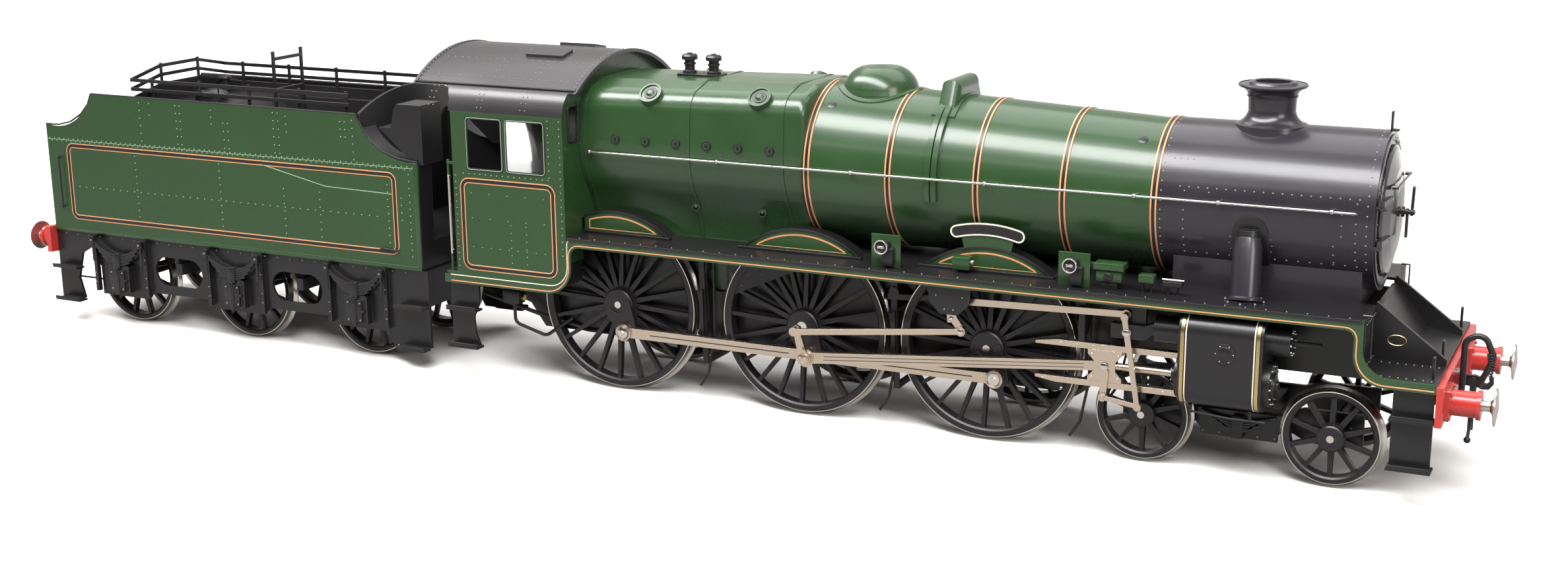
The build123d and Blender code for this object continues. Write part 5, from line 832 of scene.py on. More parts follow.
@dataclass
class FireboxDress:
    """Joint straps, washout plugs and shoulder covers on the firebox."""

    def section(self, place: float, grow: float) -> List[Vector]:
        """The firebox outline at a place, from the right foot over the roof to the left one.

        Args:
            place: full-size inches ahead of the driving axle.
            grow: millimetres off the surface.
        """
        crown = 145.6 + 2.8 * (place + 112.6) / 115.1
        half = ((22.6, 47.0), (22.6, 76.0), (26.0, 89.0), (35.2, 104.0), (36.4, 116.0), (34.6, crown - 5),
                (17.0, crown - 0.3))
        right = [at(place, -(y * 0.79375 + grow), z + grow * 1.26 * (0 if z < 130 else 1)) for y, z in half]
        corners = [at(place, -(22.6 * 0.79375 + grow), 66)]
        for index, radius in ((1, 40), (2, 35), (3, 28), (4, 30), (5, 9)):
            corners += rounded([right[index - 1], right[index], right[index + 1]], radius * MM,
                               closed=False)[1:-1]
        corners.append(right[6])
        return corners + [Vector((point.x, -point.y, point.z)) for point in reversed(corners)]

    def straps(self) -> None:
        """Three narrow straps over the joints of the cladding."""
        shaper = Shaper("firebox_straps", GREEN, "engine", Slot.GREEN)
        for place in (-110.6, -56.0, -9.0):
            shaper.strap(self.section(place, 0.03), Vector((1.5 * INCH, 0, 0)), 0.00028)
        shaper.done()

    def plugs(self) -> None:
        """Dark centres of the washout plugs and the lids of the shoulder covers."""
        shaper = Shaper("washout_plugs", BLACK, "engine", Slot.BLACK)
        for side in SIDES:
            # The black rings and centres paint the shade inside the plugs' recessed holes.
            for number in range(6):
                shaper.turned(((0, 0.0008), (0, 0.00175), (0.0007, 0.0017), (0.0007, 0.0012),
                               (0.0002, 0.0008)),
                              at(-93.1 + 15.8 * number, side * 28.6, 120.4), Vector((0, side, 0)), 20,
                              closed=True)
                shaper.stud(at(-93.1 + 15.8 * number, side * 28.8, 120.4), Vector((0, side, 0)), 0.0007,
                            0.0009, 4, 0.9)
            for place in (-56, -22):
                shaper.stud(at(place, side * 22.3, 89.8), Vector((0, side * 0.8, -0.6)), 0.0011, 0.0008, 16,
                            0.9)
        shaper.done()
        shadows = Shaper("washout_cover_shadows", BLACK, "engine", Slot.BLACK)
        lids = Shaper("washout_covers", GREEN, "engine", Slot.GREEN)
        for side in SIDES:
            for place in (-76, -20.5):
                crown = 145.6 + 2.8 * (place + 112.6) / 115.1
                out = Vector((0, side * 0.68, 0.73)).normalized()
                middle = at(place, side * 18.9, crown - 5) - Vector((0, 0, 0.007)) + out * 0.0101
                lids.turned(((0, 0.0036), (0.0005, 0.0036), (0.0005, 0.0043), (0, 0.0043)), middle, out, 32,
                            closed=True)
                lids.turned(((0, 0), (0, 0.0016), (0.0004, 0.0016), (0.0009, 0.0009), (0.0009, 0)), middle,
                            out, 20)
                shadows.turned(((0, 0), (0, 0.0025), (0.0003, 0.0025), (0.0003, 0)), middle, out, 28)
        lids.done()
        shadows.done()

    def build(self) -> None:
        """Makes every piece on the firebox."""
        self.straps()
        self.plugs()


@dataclass
class DeckDress:
    """Valance lines, splasher edging, blank nameplates, filler plates and small boxes on the deck."""

    def valances(self) -> None:
        """A painted highlight along the valances' top edge and an orange line along their foot, with their
        sweeps at the ends.
        """
        # The pale top line is a painted highlight along the deck's edge; the orange line below is lining.
        pale = Shaper("valance_top_edge_highlight", CREAM, "engine")
        orange = Shaper("valance_lines", ORANGE, "engine")
        for side in SIDES:
            y = side * 40.5
            high = [at(-178, y, 51.2)] + arc(-122.1, 61, 9.8, -90, 0, y, 8)
            high += arc(-109, 71.5, 3.1, 180, 90, y, 6)
            pale.wire(high + [at(247.0, y, 74.6)], 0.00020, flat=0.5)
            low = [at(-178, y, 48.3)] + arc(-124, 60.7, 12.4, -90, 0, y, 10)
            low += arc(-106, 66, 5.6, 180, 90, y, 8)
            low += arc(241, 67, 4.6, 90, 0, y, 8)
            low += arc(257, 61.2, 11.4, 180, 270, y, 10) + [at(275.6, y, 49.8)]
            orange.wire(low, 0.00024, flat=0.4)
        pale.done()
        orange.done()
        # Grey rivets: painted highlights on the black deck.
        rivets = Shaper("deck_rivets", GREY_RIVET_HIGHLIGHT, "engine", Slot.BLACK)
        for side in SIDES:
            for index in range(44):
                rivets.stud(at(-106 + 8.1 * index, side * 39.3, 75.0), Vector((0, 0, 1)), 0.00028)
        rivets.done()

    def splashers(self) -> None:
        """Orange edging on the two open splashers, and the ledge along their feet."""
        orange = Shaper("splasher_lines", ORANGE, "engine")
        ledge = Shaper("splasher_ledges", BLACK, "engine", Slot.BLACK)
        rim = Shaper("splasher_rims", BLACK, "engine", Slot.BLACK)
        for side in SIDES:
            y = side * 27.32
            for axle in (0.0, 88.0):
                reach = math.degrees(math.asin(36.2 / 42.4))
                bow = arc(axle, 40.5, 42.4, reach, 180 - reach, y, 36)
                orange.wire(bow, 0.00034, closed=True, flat=0.2)
                rim.strap(arc(axle, 40.5, 44.6, 52, 128, side * 26.4, 36), Vector((0, side * 1.3 * MM, 0)),
                          0.0006)
                ledge.block(at(axle - 30.5, side * 27.25, 75.0), at(axle + 30.5, side * 29.4, 76.1))
            reach = math.degrees(math.asin(36.2 / 42.4))
            short = arc(-96, 40.5, 42.4, reach, 108.5, y, 24)
            orange.wire(short + [Vector((short[-1].x, short[-1].y, short[0].z))], 0.00034, closed=True,
                        flat=0.2)
            rim.strap(arc(-96, 40.5, 44.6, 52, 111, side * 26.4, 28), Vector((0, side * 1.3 * MM, 0)),
                      0.0006)
            ledge.block(at(-112.0, side * 27.25, 75.0), at(-65.5, side * 29.4, 76.1))
        orange.done()
        ledge.done()
        rim.done()

    def nameplates(self) -> None:
        """Curved plates with a raised border and nothing on them."""
        plate = Shaper("nameplate_fields", BLACK, "engine", Slot.BLACK)
        border = Shaper("nameplate_borders", CREAM, "engine")
        for side in SIDES:
            y = side * 27.62
            outline = arc(88, 40.5, 55.3, 74.6, 105.4, y, 22)
            for turn, pole in ((105.4, 105.4), (74.6, 254.6)):
                middle = (88 + 52.9 * math.cos(math.radians(turn)),
                          40.5 + 52.9 * math.sin(math.radians(turn)))
                outline += arc(*middle, 2.4, pole, pole + 180, y, 8)
                if turn > 90:
                    outline += arc(88, 40.5, 50.5, 105.4, 74.6, y, 22)
            border.wire(outline, 0.00030, closed=True, flat=0.5)
            plate.wire(arc(88, 40.5, 52.9, 73.2, 106.8, y, 30), 0.0021, flat=0.05)
        plate.done()
        border.done()

    def fillers(self) -> None:
        """Sandbox filler plates that stand on the deck, each with its capped spout."""
        plate = Shaper("sandbox_plates", GREEN, "engine", Slot.GREEN)
        spout = Shaper("sandbox_spouts", BLACK, "engine", Slot.BLACK)
        cap = Shaper("sandbox_caps", BRIGHT, "engine", Slot.HANDRAIL)
        for side in SIDES:
            for middle in (45.2, 129.4):
                plate.block(at(middle - 6.8, side * 34.3, 75.0), at(middle + 6.8, side * 34.9, 89.4),
                            0.00012)
                spout.block(at(middle - 1.5, side * 34.8, 76.0), at(middle + 4.4, side * 37.2, 84.0),
                            0.0012)
                face = at(middle - 0.6, side * 34.8, 84.6)
                spout.turned(((0, 0), (0, 0.0024), (0.0034, 0.0024), (0.0036, 0.0021), (0.0036, 0)), face,
                             Vector((0, side, 0)), 28)
                cap.turned(((0.0033, 0.0021), (0.0039, 0.0021), (0.0039, 0.0025), (0.0033, 0.0026)), face,
                           Vector((0, side, 0)), 28, closed=True)
                cap.block(face + Vector((-0.0012, side * 0.0036, -0.0004)),
                          face + Vector((0.0012, side * 0.0039, 0.0004)))
        plate.done()
        spout.done()
        cap.done()

    def boxes(self) -> None:
        """Lubricators ahead of the leading splasher, and a small valve on its face."""
        box = Shaper("lubricators", BLACK, "engine", Slot.BLACK)
        metal = Shaper("lubricator_wheels", BRIGHT, "engine", Slot.HANDRAIL)
        small = Shaper("splasher_valves", GREEN, "engine", Slot.GREEN)
        for side in SIDES:
            small.block(at(138.5, side * 30.0, 78.0), at(149.5, side * 34.5, 83.0), 0.0005)
            small.block(at(137.5, side * 29.4, 83.0), at(150.5, side * 35.2, 86.0), 0.0004)
            box.block(at(140.5, side * 30.6, 75.0), at(147.5, side * 34.0, 78.2), 0.0003)
            box.turned(((0, 0), (0, 0.0015), (0.0010, 0.0015), (0.0014, 0.0008), (0.0014, 0)),
                       at(144, side * 34.4, 80.4),
                       Vector((0, side, 0)), 20)
            small.block(at(156.5, side * 31.0, 79.2), at(163.0, side * 34.8, 82.6), 0.0003)
            for place in (158.0, 161.5, 168.5, 172.5):
                box.wire([at(place, side * 33, 79.6), at(place, side * 33, 75)], 0.0004)
            box.block(at(166.5, side * 31.4, 78.2), at(174.5, side * 34.4, 80.6), 0.0003)
            metal.wire([at(166, side * 33, 81.2), at(175, side * 33, 81.2)], 0.00035)
            small.block(at(74.8, side * 29.0, 76.4), at(82.6, side * 33.2, 82.0), 0.0004)
            metal.turned(((0, 0.0), (0, 0.0009), (0.0008, 0.0008), (0.0008, 0)), at(82.7, side * 31, 79.5),
                         Vector((1, 0, 0)), 16)
        box.done()
        metal.done()
        small.done()

    def build(self) -> None:
        """Makes every piece on the deck."""
        self.valances()
        self.splashers()
        self.nameplates()
        self.fillers()
        self.boxes()


@dataclass
class CabDress:
    """Cab lining, window frames and glass, rivets, and the roof's seams."""

    def lining(self) -> None:
        """The lined panel under the windows."""
        panel = LinedPanel(Shaper("cab_lining", ORANGE, "engine"),
                           Shaper("cab_lining_middle", BLACK, "engine", Slot.BLACK))
        for side in SIDES:
            y = side * 40.49
            path = [at(-169, y, 98), at(-118.8, y, 98), at(-118.8, y, 55.9), at(-169, y, 55.9)]
            panel.draw(rounded(path, 2.9 * MM))
        panel.orange.done()
        panel.black.done()

    def windows(self) -> None:
        """Beaded frames round the windows, with a pane in the front side window."""
        bead = Shaper("window_beads", BLACK, "engine", Slot.BLACK)
        # Pale green lines along the window frames: painted highlights on their edges.
        bright = Shaper("window_edge_highlights", GREEN_PAINTED_HIGHLIGHT, "engine")
        glass = Shaper("window_panes", GLASS, "engine")
        for side in SIDES:
            y = side * 40.5
            for start, stop in ((-165.4, -145.9), (-143.6, -122.6)):
                path = [at(start, y, 128), at(stop, y, 128), at(stop, y, 103.5), at(start, y, 103.5)]
                bead.wire(rounded(path, 1.2 * MM), 0.00055, closed=True, flat=0.5)
                bright.wire(rounded([point + Vector((0, side * 0.0002, 0)) for point in path], 1.2 * MM),
                            0.00016,
                            closed=True, flat=0.6)
            glass.block(at(-143.9, side * 39.8, 103.2), at(-122.3, side * 40.1, 128.3), 0.00005)
            front = [at(-112.5, side * (32.94 + dy), 127 + dz) for dy,
                     dz in ((-3.5, -8.3), (3.5, -8.3), (3.5, 8.3), (-3.5, 8.3))]
            bead.wire(rounded(front, 1.2 * MM), 0.0005, closed=True)
        bead.done()
        bright.done()
        glass.done()

    def rivets(self) -> None:
        """Rivet rows on the cab's sides, and the roof's seams and rain strips."""
        # Pale green rivets: painted highlights on the green cab sides.
        rivets = Shaper("cab_rivets", GREEN_PAINTED_HIGHLIGHT, "engine", Slot.GREEN)
        for side in SIDES:
            out = Vector((0, side, 0))
            y = side * 40.47
            rivets.row(at(-172.6, y, 56), at(-172.6, y, 100), 15, out, 0.00028)
            rivets.row(at(-120.4, y, 102.5), at(-120.4, y, 129), 9, out, 0.00028)
            rivets.row(at(-168, y, 101.3), at(-121, y, 101.3), 16, out, 0.00028)
            rivets.row(at(-114.3, y, 66), at(-114.3, y, 129), 20, out, 0.00028)
            for place in (-142.5, -134.0):
                rivets.row(at(place, y, 60), at(place, y, 78), 6, out, 0.00024)
            for height in (66, 80, 92):
                rivets.row(at(-164, y, height), at(-124, y, height), 5 if height > 70 else 9, out, 0.00024)
        rivets.done()
        # Grey roof rivets: painted highlights on the black roof.
        seams = Shaper("roof_rivets", GREY_RIVET_HIGHLIGHT, "engine", Slot.BLACK)
        for place in (-196.6, -110.4):
            for turn in range(-34, 35, 2):
                angle = math.radians(turn)
                out = Vector((0, math.sin(angle), math.cos(angle)))
                seams.stud(at(place, 0, 156.2) + Vector((0, 0, -0.0592)) + out * 0.05965, out, 0.0003)
        for side in SIDES:
            for turn, places in ((19, range(-192, -112, 4)), (31, range(-192, -112, 4)),
                                 (8, (-160, -154, -136, -130))):
                angle = math.radians(turn * side)
                out = Vector((0, math.sin(angle), math.cos(angle)))
                for place in places:
                    seams.stud(at(place, 0, 156.2) + Vector((0, 0, -0.0592)) + out * 0.05925, out, 0.0003)
            for place in (-158.5, -156.0, -136.5, -134.0):
                for turn in (21, 24, 27):
                    angle = math.radians(turn * side)
                    out = Vector((0, math.sin(angle), math.cos(angle)))
                    seams.stud(at(place, 0, 156.2) + Vector((0, 0, -0.0592)) + out * 0.05925, out, 0.00028)
            for place in (-186, -183.5, -159, -156.5, -135, -132.5):
                for share in (0.12, 0.36, 0.6, 0.84):
                    across = 34.6 + 11.2 * share - 5.2 * share**2
                    height = 142.2 - 7.6 * share - 4.0 * share**2
                    seams.stud(at(place, side * across, height), Vector((0, side * 0.9, 0.43)), 0.0003)
        seams.done()
        strips = Shaper("rain_strips", BLACK, "engine", Slot.BLACK)
        for side in SIDES:
            strips.wire([at(-198, side * 34.7, 142.5), at(-109, side * 34.7, 142.5)], 0.00045)
        strips.done()

    def rails(self) -> None:
        """Bright grab rails at the cab's entrance."""
        rail = Shaper("cab_grab_rails", BRIGHT, "engine", Slot.HANDRAIL)
        for side in SIDES:
            rail.wire([at(-176.2, side * 40.9, 62), at(-176.2, side * 40.9, 100)], 0.0004, rings=2)
            for height in (63, 99):
                rail.stud(at(-176.2, side * 40.2, height), Vector((0, side, 0)), 0.0006, 0.0012, 10)
        rail.done()

    def build(self) -> None:
        """Makes every piece on the cab."""
        self.lining()
        self.windows()
        self.rivets()
        self.rails()


@dataclass
class CylinderDress:
    """Bands, covers, cocks and studs on the cylinders."""

    def outline(self, side: int, x: float) -> List[Vector]:
        """The block's outer outline at a place, just clear of the paint."""
        clear, inner, outer, top, foot = 0.00002, side * 27, side * 41.0, 69.8, 31.2
        path = [at(x, inner, top) + Vector((0, 0, clear)),
                at(x, outer, top) + Vector((0, side * clear, clear)),
                at(x, outer, foot) + Vector((0, side * clear, -clear)),
                at(x, inner, foot) + Vector((0, 0, -clear))]
        return rounded(path, 6.2 * MM, closed=False)

    def build(self) -> None:
        """Makes the pieces of both cylinders."""
        gold = Shaper("cylinder_bands", BRASS, "engine", Slot.BRASS)
        pale = Shaper("cylinder_lines", CREAM, "engine")
        studs = Shaper("cylinder_studs", BRIGHT, "engine", Slot.MOTION)
        disc = Shaper("cylinder_covers", BLACK, "engine", Slot.BLACK)
        for side in SIDES:
            for place in (177.0, 207.4):
                gold.strap(self.outline(side, place), Vector((1.4 * INCH, 0, 0)), 0.00016)
                shift = 1.9 if place < 190 else -0.9
                pale.strap(self.outline(side, place + shift), Vector((0.5 * INCH, 0, 0)), 0.00012)
            disc.turned(((0, 0), (0, 0.0025), (0.0006, 0.0025), (0.0009, 0.002), (0.0009, 0)),
                        at(195, side * 40.95, 55.5), Vector((0, side, 0)), 32)
            for turn in range(0, 360, 60):
                angle = math.radians(turn)
                studs.stud(at(195 + 3.6 * math.cos(angle), side * 41.4, 55.5 + 3.6 * math.sin(angle)),
                           Vector((0, side, 0)),
                           0.0003, 0.0003)
            for (x, y, z, radius, count) in ((212.5, 31.95, 41.6, 7.9, 12), (219.5, 32.6, 60.2, 4.8, 10),
                                             (171.6, 31.95, 41.6, 2.6, 6)):
                facing_x = Vector((1 if x > 190 else -1, 0, 0))
                for index in range(count):
                    angle = math.tau * index / count
                    place = at(x, side * y, z) + Vector((0, math.cos(angle),
                                                         math.sin(angle))) * radius * INCH
                    studs.stud(place, facing_x, 0.0004, 0.0006, 6, 0.9)
            disc.turned(((0, 0), (0, 0.0042), (0.0008, 0.0038), (0.0012, 0.0016), (0.0018, 0.0014),
                         (0.0018, 0)),
                        at(212.5, side * 31.95, 41.6), Vector((1, 0, 0)), 32)
            for place in (180.5, 205.0):
                disc.stud(at(place, side * 36, 30.6), Vector((0, 0, -1)), 0.0007, 0.003, 8, 0.8)
            disc.wire([at(180.5, side * 36, 28.2), at(196, side * 36, 27.0), at(211, side * 36, 27.0)],
                      0.0004)
        for shaper in (gold, pale, studs, disc):
            shaper.done()


# The motion in full-size inches, with its crank angles in degrees for the right and left side
CRANK_ANGLES = {-1: -66, 1: 24}
CRANK_THROW, MAIN_ROD = 13, 138.5
AXLE_HEIGHT, CYLINDER_HEIGHT = 40.5, 41.6
TRAILING_AXLE, DRIVING_AXLE, LEADING_AXLE = -96, 0, 88


@dataclass
class MotionDress:
    """Bosses, nuts, oil cups and black lines of painted flute shade on the rods and the valve gear."""

    def crank(self, side: int, x: float) -> Tuple[float, float]:
        """Where a crankpin stands at rest, in full-size inches."""
        turn = math.radians(CRANK_ANGLES[side])
        return x + CRANK_THROW * math.cos(turn), AXLE_HEIGHT + CRANK_THROW * math.sin(turn)

    def gudgeon(self, side: int) -> float:
        """Where the crosshead's pin stands at rest, in full-size inches ahead of the driving axle."""
        x, z = self.crank(side, DRIVING_AXLE)
        return x + math.sqrt(MAIN_ROD**2 - (CYLINDER_HEIGHT - z) ** 2)

    def rods(self, side: int, label: str) -> None:
        """Bosses on the coupling and connecting rods, and black lines along them that paint the shade in
        their flutes.
        """
        out = Vector((0, side, 0))
        boss = Shaper(f"side_rod_bosses_{label}", NICKEL, f"side_rods_{label}", Slot.MOTION)
        # Black lines that paint the shade inside the coupling rods' flutes.
        flute = Shaper(f"side_rod_flute_shade_{label}", WHEEL, f"side_rods_{label}", Slot.WHEEL)
        pins = [self.crank(side, x) for x in (TRAILING_AXLE, DRIVING_AXLE, LEADING_AXLE)]
        for x, z in (pins[0], pins[-1]):
            boss.turned(((0, 0.0023), (0.0007, 0.0023), (0.0009, 0.0027), (0.0007, 0.0032),
                         (0, 0.0032)),
                        at(x, side * 29.9, z), out, 36, closed=True)
        for first, second in zip(pins, pins[1:]):
            run = 14 if first == pins[0] else 10
            flute.wire([at(first[0] + run, side * 29.9, first[1]),
                        at(second[0] - 10, side * 29.9, second[1])], 0.00022, flat=0.4)
        boss.done()
        flute.done()
        main = Shaper(f"main_rod_details_{label}", NICKEL, f"main_rod_{label}", Slot.MOTION)
        # Black lines that paint the shade inside the connecting rod's flutes.
        line = Shaper(f"main_rod_flute_shade_{label}", WHEEL, f"main_rod_{label}", Slot.WHEEL)
        x, z = self.crank(side, DRIVING_AXLE)
        front_x = self.gudgeon(side)
        slope = (CYLINDER_HEIGHT - z) / (front_x - x)
        for shift in (-0.75, 0.75):
            line.wire([at(x + 9, side * 32.98, z + slope * 9 + shift),
                       at(front_x - 9, side * 32.98, 41.6 - slope * 9 + shift)],
                      0.00013, flat=0.5)
        main.turned(((0, 0), (0, 0.0021), (0.0006, 0.0021), (0.0009, 0.0015), (0.0009, 0)),
                    at(x, side * 34.6, z), out, 30)
        for turn in (30, 150, 270):
            angle = math.radians(turn)
            main.stud(at(x + 1.5 * math.cos(angle), side * 35.4, z + 1.5 * math.sin(angle)), out, 0.0003,
                      0.0004)
        main.stud(at(x, side * 35.0, z + 4.6), Vector((0, 0, 1)), 0.0005, 0.001, 8)
        main.done()
        line.done()

    def pins(self, side: int, label: str) -> None:
        """Crankpin caps on the wheels, and nuts on the links' pins."""
        out = Vector((0, side, 0))
        for body, x, high in (("leading_axle", LEADING_AXLE, 0.00015),
                              ("trailing_axle", TRAILING_AXLE, 0.0006)):
            cap = Shaper(f"crankpin_cap_{body}_{label}", BRIGHT, body, Slot.WHEEL)
            place = at(self.crank(side, x)[0], side * 30.6, self.crank(side, x)[1])
            cap.turned(((0, 0), (0, 0.00215), (high * 0.6, 0.00215), (high, 0.0017), (high, 0)), place, out,
                       28)
            cap.stud(place + out * high, out, 0.0009, high * 0.9, 6, 0.9)
            cap.done()
        # Grey rivets: painted highlights on the black balance weight.
        weight = Shaper(f"weight_rivets_{label}", GREY_RIVET_HIGHLIGHT, "driving_axle", Slot.WHEEL)
        opposite = CRANK_ANGLES[side] + 180
        for turn in range(-40, 41, 10):
            for radius in (35.0, 30.5, 26.0):
                angle = math.radians(opposite + turn)
                if radius * math.cos(math.radians(turn)) > 26.5:
                    weight.stud(at(radius * math.cos(angle), side * 24.7, 40.5 + radius * math.sin(angle)),
                                out, 0.00032)
        weight.done()
        nuts = (("eccentric", f"eccentric_nuts_{label}", ((81.0, 37.25, 50.6, 1.1),)),
                ("lever", f"lever_nuts_{label}", ((153.0, 36.5, 58.0, 1.2),)),
                ("link", f"link_bolts_{label}", ((76.0, 36.1, 71.0, 0.7), (76.0, 36.1, 55.6, 0.7))))
        for kind, name, places in nuts:
            shaper = Shaper(name, BRIGHT, f"{kind}_{label}", Slot.MOTION)
            for x, y, z, radius in places:
                shaper.turned(((0, 0), (0, radius * MM), (0.0004, radius * MM), (0.0006, radius * 0.7 * MM),
                               (0.0006, 0)),
                              at(x, side * y, z), out, 18)
            shaper.done()
        piston = Shaper(f"crosshead_bolts_{label}", BRIGHT, f"piston_{label}", Slot.MOTION)
        x = self.gudgeon(side)
        for shift_x, shift_z in ((-5.6, 4.9), (5.6, 4.9), (-5.6, -4.9), (5.6, -4.9)):
            piston.stud(at(x + shift_x, side * 33.5, 41.6 + shift_z), out, 0.0004, 0.0004)
        piston.turned(((0, 0), (0, 0.0013), (0.0005, 0.0013), (0.0007, 0.0009), (0.0007, 0)),
                      at(x, side * 33.8, 41.6), out, 20)
        piston.done()

    def brackets(self, side: int, label: str) -> None:
        """Bolts on the brackets and slide bars, and the lifting arm."""
        out = Vector((0, side, 0))
        # Grey bolts: painted highlights on the black brackets.
        bolts = Shaper(f"bracket_bolts_{label}", GREY_RIVET_HIGHLIGHT, "engine", Slot.BLACK)
        for x, z in ((67, 71.8), (85, 71.8), (70, 66), (82, 66), (74, 60.2), (78, 60.2)):
            bolts.stud(at(x, side * 38.2, z), out, 0.00035, 0.0003)
        bolts.done()
        arm = Shaper(f"lifting_arm_{label}", BLACK, "engine", Slot.BLACK)
        arm.strap([at(40.5, side * 23.0, 59.5), at(52, side * 23.0, 60.0), at(65.0, side * 23.0, 61.2)],
                  Vector((0, side * 1.2 * MM, 0)), 0.002)
        arm.turned(((0, 0), (0, 0.0019), (0.0022, 0.0019), (0.0022, 0)), at(43.5, side * 22.2, 60.4), out,
                   20)
        arm.done()
        bars = Shaper(f"slide_bar_bolts_{label}", BRIGHT, "engine", Slot.MOTION)
        for x in (116.5, 124, 131, 138, 168, 171.5):
            bars.stud(at(x, side * 33.4, 49.8), out, 0.00035, 0.0003)
        for x in (116.5, 168, 171.5):
            bars.stud(at(x, side * 33.4, 33.5), out, 0.00035, 0.0003)
        bars.done()

    def build(self) -> None:
        """Makes the pieces of both sides."""
        for side, label in ((-1, "right"), (1, "left")):
            self.rods(side, label)
            self.pins(side, label)
            self.brackets(side, label)


